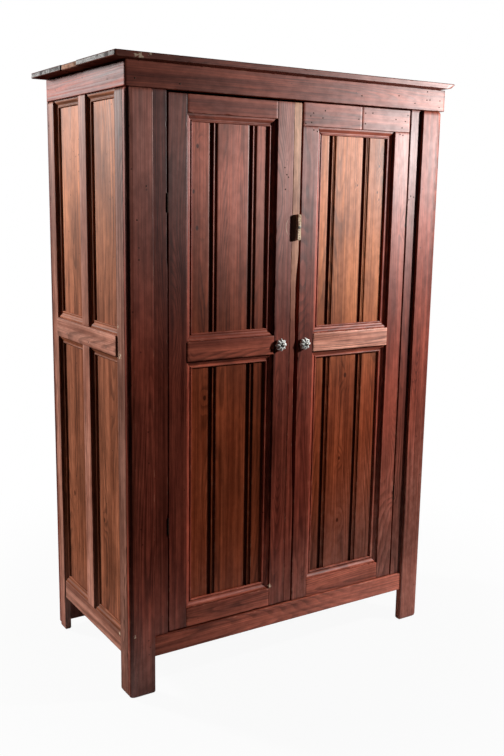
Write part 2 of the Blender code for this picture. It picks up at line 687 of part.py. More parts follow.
def add_edge_strip(door, strip, wood):
    """The newer strip along the left door's meeting edge, drilled for the button's screw."""
    mesh = board(strip, (DOOR_RECESS, DOOR_BACK), (DOOR_FOOT, DOOR_TOP))
    place = (strip[1] - BUTTON_FROM_STRIP_EDGE, DOOR_RECESS, BUTTON_HEIGHT)
    mesh = drilled(mesh, SCREW_RADIUS + JOINT_GAP, place, SCREW_IN_STRIP + JOINT_GAP)
    door.add("left_door_edge_strip", mesh, wood)


def main():
    clear_scene()
    wood = finish("stained_pine", (0.20, 0.075, 0.045), 0.5)
    new_wood = finish("newer_pine", (0.36, 0.16, 0.08), 0.55)
    iron = finish("hinge_iron", (0.06, 0.045, 0.04), 0.6, metallic=1.0)
    steel = finish("bolt_steel", (0.30, 0.29, 0.27), 0.4, metallic=1.0)
    glass = finish("knob_glass", (0.80, 0.88, 0.84), 0.08, transmission=1.0)

    case = Carrier("case", (0, 0, 0))
    case.empty.location = (-CENTRE_X, -CENTRE_Y, 0)
    for side in ("left", "right"):
        add_post(case, side, wood)
        add_side_frame(case, side, wood)
        add_side_bars(case, side, wood)
    add_front_frame(case, wood)
    add_top(case, wood, new_wood)
    add_back(case, wood)
    add_floor(case, wood)
    add_hanging_rail(case, wood)

    left_axis = OPENING_LEFT + HINGE_GAP / 2
    right_axis = OPENING_RIGHT - HINGE_GAP / 2
    left, frame = add_door(case, "left", left_axis, LEFT_FIRST_BEAD, 0, wood, iron, glass, steel)
    strip = (frame[1] + JOINT_GAP, frame[1] + JOINT_GAP + EDGE_STRIP_WIDTH)
    add_edge_strip(left, strip, new_wood)
    add_button(left, strip, wood, steel)
    add_door(case, "right", right_axis, RIGHT_FIRST_BEAD, RIGHT_DOOR_DROP, wood, iron, glass, steel)


main()
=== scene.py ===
"""Looks for an old stained pine wardrobe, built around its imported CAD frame.

Most boards are made again with unevenly rubbed edges. The beaded door boards, the planted mouldings, the
worn top, the fluted glass knobs, the turn button and the nails are made here too. The other CAD solids get
finishes.
"""

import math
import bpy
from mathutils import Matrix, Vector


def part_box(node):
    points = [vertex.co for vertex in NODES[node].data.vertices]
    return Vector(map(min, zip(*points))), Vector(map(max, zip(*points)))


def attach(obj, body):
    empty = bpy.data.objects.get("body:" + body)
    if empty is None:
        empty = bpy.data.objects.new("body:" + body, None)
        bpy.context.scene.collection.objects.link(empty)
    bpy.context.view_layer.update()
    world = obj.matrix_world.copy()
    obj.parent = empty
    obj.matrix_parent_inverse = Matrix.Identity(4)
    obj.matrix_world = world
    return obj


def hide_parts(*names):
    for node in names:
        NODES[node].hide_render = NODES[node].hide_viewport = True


bl_info = {
    "name": "Stained Pine Wardrobe",
    "version": (1, 0, 0),
    "blender": (4, 5, 0),
    "location": "View3D > Sidebar > Wardrobe",
    "description": "Dresses the wardrobe's CAD frame and sets the studio around it",
    "category": "Object",
}

import bmesh
import bpy
from bpy.props import FloatProperty, FloatVectorProperty, PointerProperty
from mathutils import Matrix, Vector, noise

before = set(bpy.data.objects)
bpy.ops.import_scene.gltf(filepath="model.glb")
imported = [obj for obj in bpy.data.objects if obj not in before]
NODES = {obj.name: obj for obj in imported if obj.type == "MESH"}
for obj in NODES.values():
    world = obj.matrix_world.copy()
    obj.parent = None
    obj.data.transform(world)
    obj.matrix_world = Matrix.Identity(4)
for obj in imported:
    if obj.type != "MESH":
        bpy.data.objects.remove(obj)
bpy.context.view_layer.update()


def colour_property(name, default):
    """A colour that the sidebar shows."""
    return FloatVectorProperty(name=name, subtype="COLOR", size=3, min=0, max=1, default=default)


def length_property(name, default):
    """A length that the sidebar shows."""
    return FloatProperty(name=name, unit="LENGTH", default=default)


class WardrobeSizes(bpy.types.PropertyGroup):
    """Sizes of the pieces that are made here, in metres."""

    arris: length_property("Usual rounding along the edges of the boards", 0.0012)
    ring_step: length_property("Distance between two sections of a worn board", 0.007)
    corner_front: length_property("Width of a post's worn corner on the front", 0.019)
    corner_side: length_property("Width of a post's worn corner on the side", 0.010)
    moulding_width: length_property("Width of a planted moulding", 0.022)
    mitre_gap: length_property("Opening at a mitred corner", 0.0004)
    bead_width: length_property("Width of the sunk bead between two door boards", 0.026)
    bead_depth: length_property("Depth of the sunk bead", 0.0088)
    reed_radius: length_property("Radius of each of the two reeds in a bead", 0.0031)
    reed_sink: length_property("Drop from a board's face to the top of its reeds", 0.0030)
    nail_radius: length_property("Radius of a nail head", 0.0022)


class WardrobeColours(bpy.types.PropertyGroup):
    """Colours of the finishes."""

    deep: colour_property("Darkest wood", (0.120, 0.022, 0.013))
    warm: colour_property("Lighter streaks of the stain", (0.240, 0.050, 0.029))
    rail_deep: colour_property("Darkest wood of the rails", (0.120, 0.025, 0.014))
    rail_warm: colour_property("Lighter streaks of the rails", (0.240, 0.057, 0.032))
    # The faded colours, golden, russet, honey and newer, are what the upper parts fade to; this fading also
    # paints sheen there
    faded: colour_property("Stain that is worn thin", (0.420, 0.145, 0.105))
    golden_dark: colour_property("Dark streaks of the panels", (0.145, 0.027, 0.0095))
    golden_light: colour_property("Light streaks of the panels", (0.260, 0.055, 0.021))
    golden: colour_property("Faded wood of the right door's panel", (0.480, 0.158, 0.062))
    russet: colour_property("Faded wood of the left door's panel", (0.420, 0.105, 0.060))
    honey_dark: colour_property("Dark streaks of the sides", (0.150, 0.044, 0.020))
    honey_light: colour_property("Light streaks of the sides", (0.300, 0.100, 0.050))
    honey: colour_property("Faded wood of the side panels", (0.460, 0.168, 0.078))
    pale_dark: colour_property("Dark streaks of paler boards", (0.190, 0.069, 0.044))
    pale_light: colour_property("Light streaks of paler boards", (0.360, 0.160, 0.112))
    grey: colour_property("Grime in the end grain of the top", (0.115, 0.085, 0.090))
    # Dust near the floor, which also paints the reflection of the lit floor
    dust: colour_property("Stain dulled by dust near the floor", (0.215, 0.080, 0.058))
    worn: colour_property("Bare wood along rubbed edges", (0.46, 0.25, 0.16))
    newer: colour_property("Orange wood of the replaced pieces", (0.56, 0.30, 0.19))
    newer_end: colour_property("End grain of the newer top board", (0.45, 0.21, 0.115))
    raw_dark: colour_property("Dark streaks of the wood inside", (0.204, 0.12, 0.066))
    raw: colour_property("Unstained wood inside", (0.34, 0.20, 0.11))
    lime: colour_property("Whitish weathered end grain of the top", (0.34, 0.325, 0.31))
    cream: colour_property("Split bare face of the turn button", (0.78, 0.60, 0.42))
    iron: colour_property("Dark iron of hinges and nails", (0.022, 0.017, 0.015))
    steel: colour_property("Dull steel of bolts and screw", (0.30, 0.29, 0.27))
    glass: colour_property("Tint of the knobs", (0.95, 0.96, 0.91))


class WardrobeStage(bpy.types.PropertyGroup):
    """Camera and lights."""

    lens: FloatProperty(name="Lens", description="Focal length in millimetres", default=44.309)
    key_power: FloatProperty(name="Key light", description="Power of the key light", unit="POWER",
                             default=48.0)
    side_power: FloatProperty(name="Side light", description="Power of the light behind the left side",
                              unit="POWER", default=580.0)
    ambient: FloatProperty(name="Ambient", description="Strength of the world's light", default=0.012)


def sizes():
    """The sizes as the sidebar has them."""
    return bpy.context.scene.wardrobe_sizes


def colours():
    """The colours as the sidebar has them."""
    return bpy.context.scene.wardrobe_colours


def set_inputs(tree, node, inputs):
    """Link a node's inputs to values of other nodes, or set them to plain ones."""
    for key, value in inputs.items():
        if isinstance(value, Value):
            tree.links.new(value.socket, node.inputs[key])
        else:
            node.inputs[key].default_value = value


def outputs_of(tree, node):
    """A node's outputs, by place and by name."""
    values = {}
    for place, socket in enumerate(node.outputs):
        values[place] = values[socket.name] = Value(tree, socket)
    return values


def add_node(tree, kind, inputs=None, **settings):
    """Add a shader node, set its properties and its inputs, and return its outputs."""
    node = tree.nodes.new(f"ShaderNode{kind}")
    for key, value in settings.items():
        setattr(node, key, value)
    set_inputs(tree, node, inputs or {})
    return outputs_of(tree, node)


class Value:
    """An output of a shader node, to work on with further nodes."""

    def __init__(self, tree, socket):
        self.tree = tree
        self.socket = socket

    def maths(self, operation, *others, clamp=False):
        """Go through a Math node."""
        inputs = dict(enumerate((self, *others)))
        return add_node(self.tree, "Math", inputs, operation=operation, use_clamp=clamp)[0]

    def __add__(self, other):
        return self.maths("ADD", other)

    def __sub__(self, other):
        return self.maths("SUBTRACT", other)

    def __mul__(self, other):
        return self.maths("MULTIPLY", other)

    def most(self, other):
        """The larger of this and another value."""
        return self.maths("MAXIMUM", other)

    def fit(self, low, high, to_low=0.0, to_high=1.0, smooth=True):
        """Map from one range to another, clamped."""
        inputs = {0: self, 1: low, 2: high, 3: to_low, 4: to_high}
        kind = "SMOOTHSTEP" if smooth else "LINEAR"
        return add_node(self.tree, "MapRange", inputs, interpolation_type=kind)[0]

    def mix(self, first, second):
        """Mix two colours by this much."""
        return add_node(self.tree, "Mix", {0: self, 6: first, 7: second}, data_type="RGBA")[2]

    def vector(self, operation, *others):
        """Go through a Vector Math node and return its outputs."""
        return add_node(self.tree, "VectorMath", dict(enumerate((self, *others))), operation=operation)

    def split(self):
        """The x, y and z of a vector."""
        parts = add_node(self.tree, "SeparateXYZ", {0: self})
        return parts[0], parts[1], parts[2]

    def distance(self, spot, squash=(1.0, 1.0, 1.0)):
        """Distance from a spot, with each axis stretched or squashed."""
        away = self.vector("SUBTRACT", spot)[0].vector("MULTIPLY", squash)[0]
        return away.vector("LENGTH")["Value"]

    def speckle(self, scale, detail=3.0, roughness=0.5):
        """Noise, as features per metre."""
        inputs = {"Vector": self, "Scale": scale, "Detail": detail, "Roughness": roughness}
        return add_node(self.tree, "TexNoise", inputs)[0]

    def streaks(self, across, along, detail=3.0, roughness=0.6):
        """Noise drawn out along the Z axis, as features per metre across and along the grain."""
        return self.vector("MULTIPLY", (across, across, along))[0].speckle(1.0, detail, roughness)

    def bumps(self, strength, distance):
        """Normals bent by this height."""
        return add_node(self.tree, "Bump", {"Strength": strength, "Distance": distance, "Height": self})[0]


def place_group(tree, name, inputs):
    """Place a node group and return its outputs."""
    return add_node(tree, "Group", inputs, node_tree=bpy.data.node_groups[name])


def own_place(tree):
    """Where a point lies in its piece's own space."""
    return add_node(tree, "TexCoord")["Object"]


def attribute(tree, name):
    """A float attribute of the mesh, 0 where the mesh has none."""
    return add_node(tree, "Attribute", attribute_name=name)["Fac"]


def rgba(colour, share=1.0):
    """A colour with alpha, dimmed to a share of itself."""
    return (*(part * share for part in colour), 1.0)


def new_group(name, inputs, outputs):
    """Start a shader node group and return it with its given values and its output node."""
    tree = bpy.data.node_groups.new(name, "ShaderNodeTree")
    for socket, kind in inputs.items():
        tree.interface.new_socket(socket, in_out="INPUT", socket_type=f"NodeSocket{kind}")
    for socket in outputs:
        tree.interface.new_socket(socket, in_out="OUTPUT", socket_type="NodeSocketFloat")
    return tree, outputs_of(tree, tree.nodes.new("NodeGroupInput")), tree.nodes.new("NodeGroupOutput")


# Knots of the door panels and the side panel, and dark spots by the right hinges: place and radius
KNOTS = [((x, -0.235, z), radius) for x, z, radius in (
    (0.2296, 0.8907, 0.0070), (0.2170, 0.6180, 0.0055), (0.2176, 0.4070, 0.0060), (-0.3115, 1.5786, 0.0055),
    (-0.3235, 1.4561, 0.0050), (-0.3120, 1.3564, 0.0060), (-0.2848, 0.8687, 0.0065), (0.3370, 1.5430, 0.0032),
    (0.3320, 1.4635, 0.0035), (0.3400, 1.4415, 0.0030), (0.2523, 1.4837, 0.0028))]
KNOTS += [((-0.525, 0.1795, 0.5017), 0.0075), ((-0.525, -0.0542, 0.4833), 0.0065)]
KNOTS += [((0.439, -0.2525, 1.3610), 0.0065), ((0.438, -0.2525, 0.4700), 0.0065)]

# Where the rings close into long arches
SWIRLS = ((-0.385, -0.2525, 1.10), (0.050, -0.2525, 1.21), (-0.035, -0.2525, 1.46), (0.412, -0.2525, 0.62),
          (-0.032, -0.2525, 0.72), (0.520, -0.2635, 1.02))

# Pale chips in the stain: place and radius
CHIPS = (
    ((-0.536, -0.210, 1.005), 0.0075),
    ((-0.536, -0.196, 1.090), 0.0045),
    ((-0.0565, -0.2525, 0.243), 0.0050),
    ((-0.5245, -0.2635, 0.194), 0.0035),
    ((-0.536, -0.180, 0.171), 0.0060),
    ((-0.5294, -0.3065, 1.7900), 0.0055),
    ((-0.5170, -0.3065, 1.7870), 0.0070),
    ((-0.4884, -0.3065, 1.7960), 0.0045),
)

# Radius of the arc that the end of the turn button has rubbed
RUBBED_ARC = 0.0385

# How far the figure moves along each axis from one piece to the next, and how many such steps it moves from
# one board of a door panel to the next
PIECE_SHIFT = (1.37, 2.11, 3.73)
BOARD_SHIFT = 7.31

# Annual rings over the whole range of the ring noise
RINGS = 36.0


def marks_group():
    """Knots that swell the rings round them, chips, and the arc that the turn button has rubbed."""
    tree, given, out = new_group("Marks", {"Place": "Vector"}, ("Swell", "Core", "Rub"))
    place = given["Place"]
    swell = core = 0.0
    for spot in SWIRLS:
        swell = place.distance(spot, (1.0, 1.0, 0.22)).fit(0.0, 0.06, 0.16, 0.0) + swell
    for spot, radius in KNOTS:
        away = place.distance(spot, (1.0, 1.0, 0.62))
        swell = away.fit(0.0, 6 * radius, 0.05, 0.0) + swell
        core = away.fit(0.45 * radius, radius, 1.0, 0.0).most(core)
    low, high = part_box("turn_button_screw")
    line = (place.distance((low + high) / 2, (1.0, 0.0, 1.0)) - RUBBED_ARC).maths("ABSOLUTE")
    left = place.split()[0].fit(-0.026, -0.010, 1.0, 0.0)
    rub = line.fit(0.0003, 0.0012, 1.0, 0.0) * left
    ragged = place.speckle(210.0, 2.0).fit(0.3, 0.7, 0.4, 1.8)
    for spot, radius in CHIPS:
        away = place.distance(spot) * ragged
        rub = rub.most(away.fit(0.7 * radius, radius, 1.0, 0.0))
    set_inputs(tree, out, {"Swell": swell, "Core": core, "Rub": rub})


def figure_group():
    """The figure of plain-sawn pine, with Z along the grain."""
    tree, given, out = new_group("Pine figure", {"Vector": "Vector", "Piece": "Float", "Swell": "Float"},
                                 ("Ring", "Streak", "Fibre", "Blotch", "Mottle", "Cloud"))
    steps = {axis: given["Piece"] * step for axis, step in enumerate(PIECE_SHIFT)}
    moved = given["Vector"].vector("ADD", add_node(tree, "CombineXYZ", steps)[0])[0]
    field = moved.streaks(9.0, 0.75, 1.2, 0.35) + given["Swell"]
    saw = (field * RINGS).maths("FRACT")
    strength = moved.streaks(26.0, 1.4, 2.0, 0.5).fit(0.36, 0.64, 0.10, 0.9)
    set_inputs(tree, out, {
        "Ring": saw.fit(0.15, 0.86) * saw.fit(0.88, 1.0, 1.0, 0.0) * strength,
        "Streak": moved.streaks(70.0, 1.0),
        "Fibre": moved.streaks(270.0, 2.6),
        "Blotch": moved.streaks(8.0, 2.6, 4.0),
        "Mottle": moved.streaks(62.0, 34.0),
        "Cloud": moved.streaks(30.0, 4.0, 4.0),
    })


def ageing_group():
    """Where the finish has faded, which also paints sheen on the upper parts, been scuffed, which also paints
    floor bounce light low down, caught dirt, been pitted, kept its coat's sheen or gathered dust, which also
    paints the reflection of the lit floor; and where it is darker near the floor.
    """
    inputs = {"Place": "Vector", **dict.fromkeys(("Blotch", "Streak", "Mottle", "Low", "High"), "Float")}
    outputs = ("Fade", "Dirt", "Scuff", "Pit", "Sheen", "Dust")
    tree, given, out = new_group("Ageing", inputs, outputs)
    blotch, streak, mottle = given["Blotch"], given["Streak"], given["Mottle"]
    x, _, height = given["Place"].split()

    upper = height.fit(given["Low"], given["High"])
    patchy = blotch.fit(0.30, 0.70, 0.55, 1.25)
    fine = streak.fit(0.30, 0.70, 0.82, 1.15)
    # Fading and painted sheen: the pale fading of the upper parts grows to the right, towards the key light
    sideways = x.fit(-0.5, 0.5, 0.55, 1.3, smooth=False)

    dirt = blotch.fit(0.52, 0.74) * height.fit(1.5, 0.2, 0.35, 1.0)
    # Darker in the last ten centimetres above the floor, more so to the left
    darkening = height.fit(0.10, 0.0, 0.0, 1.7) * x.fit(0.4, -0.5, 0.25, 1.0)
    leftward = x.fit(-0.5, 0.5, 1.0, 0.5, smooth=False)

    cells = add_node(tree, "TexVoronoi", {"Vector": given["Place"], "Scale": 42.0})
    chosen = add_node(tree, "SeparateColor", {0: cells["Color"]})
    size = chosen["Green"].fit(0.0, 1.0, 0.04, 0.12, smooth=False)
    chance = chosen["Red"].maths("GREATER_THAN", 0.72)

    left_over = (height + x * 0.55).fit(0.70, 1.32, smooth=False)
    foot = height.fit(0.50, 0.05, 0.0, 0.9)
    broken = mottle.fit(0.3, 0.7, 0.88, 1.12) * streak.fit(0.3, 0.7, 0.9, 1.1)
    frontal = add_node(tree, "TexCoord")["Normal"].split()[1].fit(-0.3, -0.8, 0.045, 1.0)

    # Dust, and painted reflection of the lit floor: low down, reaching higher towards the right
    dust_and_reflection_mask = (height - x * 0.8).fit(0.48, -0.05, 0.0, 0.75).most(height.fit(0.30, 0.10, 0.0, 0.4))
    set_inputs(tree, out, {
        # Fading, which also paints the key light's sheen on the upper parts
        "Fade": upper * patchy * fine * sideways,
        "Dirt": dirt.most(darkening),
        # Scuffs low down and to the left, which brighten the wood and so also paint the floor's bounce light
        "Scuff": height.fit(0.70, 0.15) * blotch.fit(0.34, 0.66, 0.7, 1.2) * leftward,
        "Pit": chance * cells["Distance"].maths("LESS_THAN", size),
        "Sheen": left_over.most(foot) * broken * frontal,
        "Dust": dust_and_reflection_mask * mottle.fit(0.3, 0.7, 0.8, 1.2),
    })


GRAIN_TURN = {
    "upright": (0.0, 0.0, 0.0),
    "across": (0.0, math.pi / 2, 0.0),
    "deep": (math.pi / 2, 0.0, 0.0),
}

# How much the dust and painted floor reflection show, by the direction of a board
DUST_AND_REFLECTION_SHARE = {"upright": 1.0, "across": 0.3, "deep": 0.0}


def principled(name):
    """Start a material and return it with its tree and shader."""
    material = bpy.data.materials.new(name)
    material.use_nodes = True
    return material, material.node_tree, material.node_tree.nodes["Principled BSDF"]


def wood_finish(name, direction, dark, light, faded, heights, scuff_and_bounce):
    """Aged wood. A piece's index moves its figure, and its colour holds its tone, its fading (which also
    paints sheen) and its coat's sheen.
    """
    _, tree, shader = principled(name)
    shades = colours()
    place = own_place(tree)
    grain = add_node(tree, "Mapping", {"Vector": place, "Rotation": GRAIN_TURN[direction]})[0]
    own = add_node(tree, "ObjectInfo")
    piece = own["Object Index"] + attribute(tree, "board") * BOARD_SHIFT
    tone = add_node(tree, "SeparateColor", {0: own["Color"]})
    marks = place_group(tree, "Marks", {"Place": place})
    wood = place_group(tree, "Pine figure", {"Vector": grain, "Piece": piece, "Swell": marks["Swell"]})
    age = place_group(tree, "Ageing", {"Place": place, "Low": heights[0], "High": heights[1],
                                       **{key: wood[key] for key in ("Blotch", "Streak", "Mottle")}})
    # drift: how fading and brightness stray along a board, and in the door boards the painted shade deep in
    # each bead
    drift = attribute(tree, "drift") + 1.0
    wear = attribute(tree, "wear")

    tint = wood["Streak"] * 0.55 + wood["Cloud"] * 0.45
    colour = tint.fit(0.39, 0.61).mix(rgba(dark), rgba(light))
    # Fading to the faded colour, which also paints sheen on the upper parts
    fade_and_sheen_share = (age["Fade"] * tone["Green"] * drift).maths("MULTIPLY", 2.0, clamp=True)
    colour = fade_and_sheen_share.mix(colour, rgba(faded))
    colour = (age["Dirt"] * 0.45).mix(colour, rgba(dark, 0.5))
    # Dust near the floor, which also paints the reflection of the lit floor
    colour = (age["Dust"] * DUST_AND_REFLECTION_SHARE[direction]).mix(colour, rgba(shades.dust))
    dark_spot = marks["Core"].most(age["Pit"] * 0.7)
    colour = (dark_spot * 0.85).mix(colour, rgba(dark, 0.25))
    colour = (wear * 0.5).mix(colour, rgba(dark, 0.5))
    rubbed = wear * wood["Mottle"].fit(0.54, 0.68) * 0.3
    colour = rubbed.mix(colour, rgba(shades.worn))
    colour = (marks["Rub"] * 0.8).mix(colour, rgba(shades.cream))
    bright = (wood["Ring"].fit(0.0, 1.0, 1.10, 0.64)
              * wood["Fibre"].fit(0.25, 0.75, 0.70, 1.30)
              * wood["Mottle"].fit(0.28, 0.72, 0.88, 1.12)
              * wood["Blotch"].fit(0.3, 0.7, 0.76, 1.24)
              # Scuffs brighten the wood low down, which also paints the floor's bounce light
              * age["Scuff"].fit(0.0, 1.0, 1.0, 1.0 + scuff_and_bounce, smooth=False)
              * drift.maths("POWER", 0.5) * tone["Red"] * 2.0)
    relief = wood["Fibre"] * 0.4 + wood["Ring"] * -0.10 + wood["Mottle"] * 0.6 - dark_spot * 0.2
    set_inputs(tree, shader, {
        "Base Color": add_node(tree, "VectorMath", {0: colour, "Scale": bright}, operation="SCALE")[0],
        "Roughness": wood["Fibre"].fit(0.3, 0.7, 0.45, 0.60),
        "Normal": relief.bumps(0.7, 0.0010),
        "Coat Weight": age["Sheen"] * tone["Blue"] * drift,
        "Coat Roughness": 0.49,
        "Coat IOR": 1.55,
        "Specular IOR Level": 0.02,
    })


def end_finish(name, colour, dark, share):
    """Rough end grain, speckled with dark pores."""
    _, tree, shader = principled(name)
    place = own_place(tree)
    speck = place.speckle(330.0)
    patch = place.speckle(38.0)
    cover = speck.fit(0.50, 0.60).most(patch.fit(0.54, 0.66, 0.0, 0.8))
    set_inputs(tree, shader, {
        "Base Color": cover.mix(rgba(colour), rgba(dark, share)),
        "Roughness": patch.fit(0.3, 0.7, 0.7, 0.9),
        "Normal": speck.bumps(0.8, 0.001),
        "Specular IOR Level": 0.1,
    })


def metal_finish(name, colour, roughness, spots):
    """Metal with spots of rust or tarnish."""
    _, tree, shader = principled(name)
    mottle = own_place(tree).speckle(420.0, 4.0)
    set_inputs(tree, shader, {
        "Base Color": mottle.fit(0.42, 0.66).mix(rgba(colour), rgba(spots)),
        "Roughness": mottle.fit(0.3, 0.7, roughness, roughness + 0.25),
        "Metallic": 0.85,
    })


def glass_finish(name, colour):
    """Cloudy pressed glass with slight waviness, and painted shade in the flutes and at the middle of the
    face.
    """
    _, tree, shader = principled(name)
    ripple = own_place(tree).speckle(160.0, 1.0)
    # Painted shade: the flutes and the middle of the face are darkened
    darkening = attribute(tree, "wear") * 0.9
    set_inputs(tree, shader, {
        "Base Color": darkening.mix(rgba(colour), rgba(colour, 0.06)),
        "Roughness": ripple.fit(0.3, 0.7, 0.03, 0.10),
        "Normal": ripple.bumps(0.25, 0.0006),
        "Transmission Weight": 0.02,
        "IOR": 1.5,
    })


def set_tone(piece, index, tone=0.5, fade=0.0, sheen=0.85):
    """Give a piece its own figure, its own shade of the finish and its sheen."""
    piece.pass_index = index
    # Red holds the tone, green the fading with its painted sheen, blue the coat's sheen
    piece.color = (tone, fade, sheen, 1.0)


def add_piece(name, mesh, materials, body):
    """Add a mesh in the row frame as a piece that rides on a body."""
    piece = bpy.data.objects.new(name, mesh)
    bpy.context.scene.collection.objects.link(piece)
    for one in materials:
        mesh.materials.append(bpy.data.materials[one])
    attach(piece, body)
    return piece


def refinish(node, finish):
    """Give a CAD solid one finish."""
    node.data.materials.clear()
    node.data.materials.append(bpy.data.materials[finish])


def float_layer(bm, name):
    """A float attribute of a bmesh's vertices, added where it is missing."""
    layers = bm.verts.layers.float
    return layers.get(name) or layers.new(name)


def mesh_from(bm, smooth_angle=None):
    """Turn a bmesh into a mesh whose faces point out."""
    bmesh.ops.recalc_face_normals(bm, faces=bm.faces)
    mesh = bpy.data.meshes.new("piece")
    bm.to_mesh(mesh)
    bm.free()
    if smooth_angle is not None:
        mesh.shade_smooth()
        mesh.set_sharp_from_angle(angle=math.radians(smooth_angle))
    return mesh


def fade(value, low, high):
    """A smooth step from 0 at the low value to 1 at the high one."""
    share = min(max((value - low) / (high - low), 0.0), 1.0)
    return share * share * (3 - 2 * share)


def loft(bm, rings, slot=0, end_slot=0):
    """Close a row of rings into a solid."""
    for ring in (rings[0], rings[-1]):
        bm.faces.new(ring).material_index = end_slot
    count = len(rings[0])
    for one, two in zip(rings, rings[1:]):
        for turn in range(count):
            after = (turn + 1) % count
            bm.faces.new([one[turn], one[after], two[after], two[turn]]).material_index = slot


def shrunk(outline, inset):
    """Move each side of a convex outline inwards, for points that run counter-clockwise."""
    moved = []
    for turn, corner in enumerate(outline):
        before = (corner - outline[turn - 1]).normalized()
        after = (outline[(turn + 1) % len(outline)] - corner).normalized()
        first, second = Vector((-before.y, before.x)), Vector((-after.y, after.x))
        moved.append(corner + inset * (first + second) / (1 + first.dot(second)))
    return moved


# How far wear is seen beyond the rounding of an edge
WEAR_MARGIN = 0.0012

# Gap between boards that meet
FIT_GAP = 0.0003

# How far the ends of boards are eased, and of those that stand on the floor
END_EASE = 0.0015
FOOT_EASE = 0.007


def rounded(outline, radii):
    """Round the corners of a convex outline into points with how rubbed each is, five to a corner."""
    points = []
    for turn, corner in enumerate(outline):
        before = outline[turn - 1] - corner
        after = outline[(turn + 1) % len(outline)] - corner
        half = before.angle(after) / 2
        limit = 0.3 * min(before.length, after.length)
        reach = min(radii[turn] / math.tan(half), limit)
        guard = min(reach + WEAR_MARGIN, limit + 0.0005)
        before.normalize()
        after.normalize()
        bulge = reach * math.tan(half) * (1 / math.sin(half) - 1)
        points += [
            (corner + before * guard, 0.0),
            (corner + before * reach, 0.6),
            (corner + (before + after).normalized() * bulge, 1.0),
            (corner + after * reach, 0.6),
            (corner + after * guard, 0.0),
        ]
    return points


PLACE = {
    "upright": lambda t, a, b: (a, b, t),
    "across": lambda t, a, b: (t, a, b),
    "deep": lambda t, a, b: (b, t, a),
}


def spans(low, high, direction):
    """The two section axes and the long axis of a box, as low and high pairs."""
    x, y, z = zip(low, high)
    return {"upright": (x, y, z), "across": (y, z, x), "deep": (z, x, y)}[direction]


def rectangle(first, second):
    """A rectangle's corners, counter-clockwise."""
    return [Vector((first[0], second[0])), Vector((first[1], second[0])), Vector((first[1], second[1])),
            Vector((first[0], second[1]))]


def worn_board(bm, outline, span, direction, seed, arris=1.0, end=END_EASE, ragged=0.0, end_slot=0,
               drift=(0.0, 0.0), trim=None):
    """Sweep an outline along a span as a board with unevenly rubbed and chipped edges.

    outline gives the section's corners at a place along the span. trim gives, for a point of the outline,
    how far the board stops short there at its start and its stop.
    """
    worn, change = (float_layer(bm, name) for name in ("wear", "drift"))
    start, stop = span
    usual = sizes().arris * arris
    count = max(2, round((stop - start) / sizes().ring_step))
    stations = [(start, end), (start + 0.3 * end, 0.3 * end)]
    stations += [(start + end + (stop - start - 2 * end) * step / count, 0.0) for step in range(count + 1)]
    stations += [(stop - 0.3 * end, 0.3 * end), (stop, end)]
    rings = []
    for t, inset in stations:
        corners = outline(t)
        radii = []
        for corner in range(len(corners)):
            sway = noise.noise(Vector((9.0 * t, 5.3 * corner, 1.7 * seed)))
            chip = noise.noise(Vector((42.0 * t, 3.1 * corner + 40.0, 2.3 * seed)))
            radii.append(usual * (max(0.4, 0.9 + 0.6 * sway) + 7.0 * max(0.0, chip - 0.46)))
        close = min(t - start, stop - t) < 2 * end
        share = (t - start) / (stop - start)
        ring = []
        for spot, wear in rounded(shrunk(corners, inset), radii):
            near, far = trim(spot) if trim else (0.0, 0.0)
            along = t + near * (1 - share) - far * share
            if close and ragged:
                level = 5.0 * seed + 9.0 * (t > start + 0.1)
                rough = 0.5 + 0.5 * noise.noise(Vector((60.0 * spot.x, 60.0 * spot.y, level)))
                along += ragged * rough * (1 if t - start < stop - t else -1)
            vertex = bm.verts.new(PLACE[direction](along, spot.x, spot.y))
            vertex[worn] = wear
            vertex[change] = drift[0] + (drift[1] - drift[0]) * share
            ring.append(vertex)
        rings.append(ring)
    loft(bm, rings, 0, end_slot)


BOARD_GRAIN = {
    "upright": ["post_", "stile", "muntin", "side_panel", "face_strip", "edge_strip", "back_panel",
                "turn_button"],
    "across": ["top_board", "front_", "floor_board", "hanging_rail", "door_top", "door_mid", "door_bottom"],
    "deep": ["side_bottom_rail", "side_mid_rail", "side_frieze", "floor_bearer", "rail_socket"],
}


def grain_of(node):
    """The grain direction of a CAD board, from its name."""
    for direction, words in BOARD_GRAIN.items():
        if any(word in node for word in words):
            return direction
    return None


# Tone, fading (which also paints sheen) and coat sheen of the boards that differ from the usual ones
BOARD_TONES = {
    "post_left": (0.43, 0.7),
    "post_right": (0.57, 0.10, 0.55),
    "face_strip_left": (0.29, 0.0),
    "face_strip_right": (0.38, 0.15),
    "left_door_hinge_stile": (0.33, 0.25),
    "left_door_meeting_stile": (0.36, 0.45),
    "left_door_edge_strip": (0.52, 0.60, 0.60),
    "left_door_top_rail": (0.60, 0.0, 0.52),
    "left_door_mid_rail": (0.64, 0.0),
    "left_door_bottom_rail": (0.74, 0.0),
    "right_door_meeting_stile": (0.46, 0.10),
    "right_door_hinge_stile": (0.55, 0.20),
    "right_door_mid_rail": (1.0, 0.0),
    "right_door_bottom_rail": (1.0, 0.0),
    "right_door_top_board_inner": (0.66, 0.0, 0.75),
    "right_door_top_board_outer": (0.64, 0.0),
    "front_frieze": (0.61, 0.0, 0.66),
    "front_bottom_rail": (0.80, 0.0),
    "back_panel": (0.36, 0.1),
    "side_frieze_left": (0.63, 0.0, 1.05),
    "side_front_stile_left": (0.37, 0.0),
    "side_rear_stile_left": (0.57, 0.0),
    "side_muntin_left": (0.64, 0.0),
    "side_mid_rail_left": (0.76, 0.0),
}

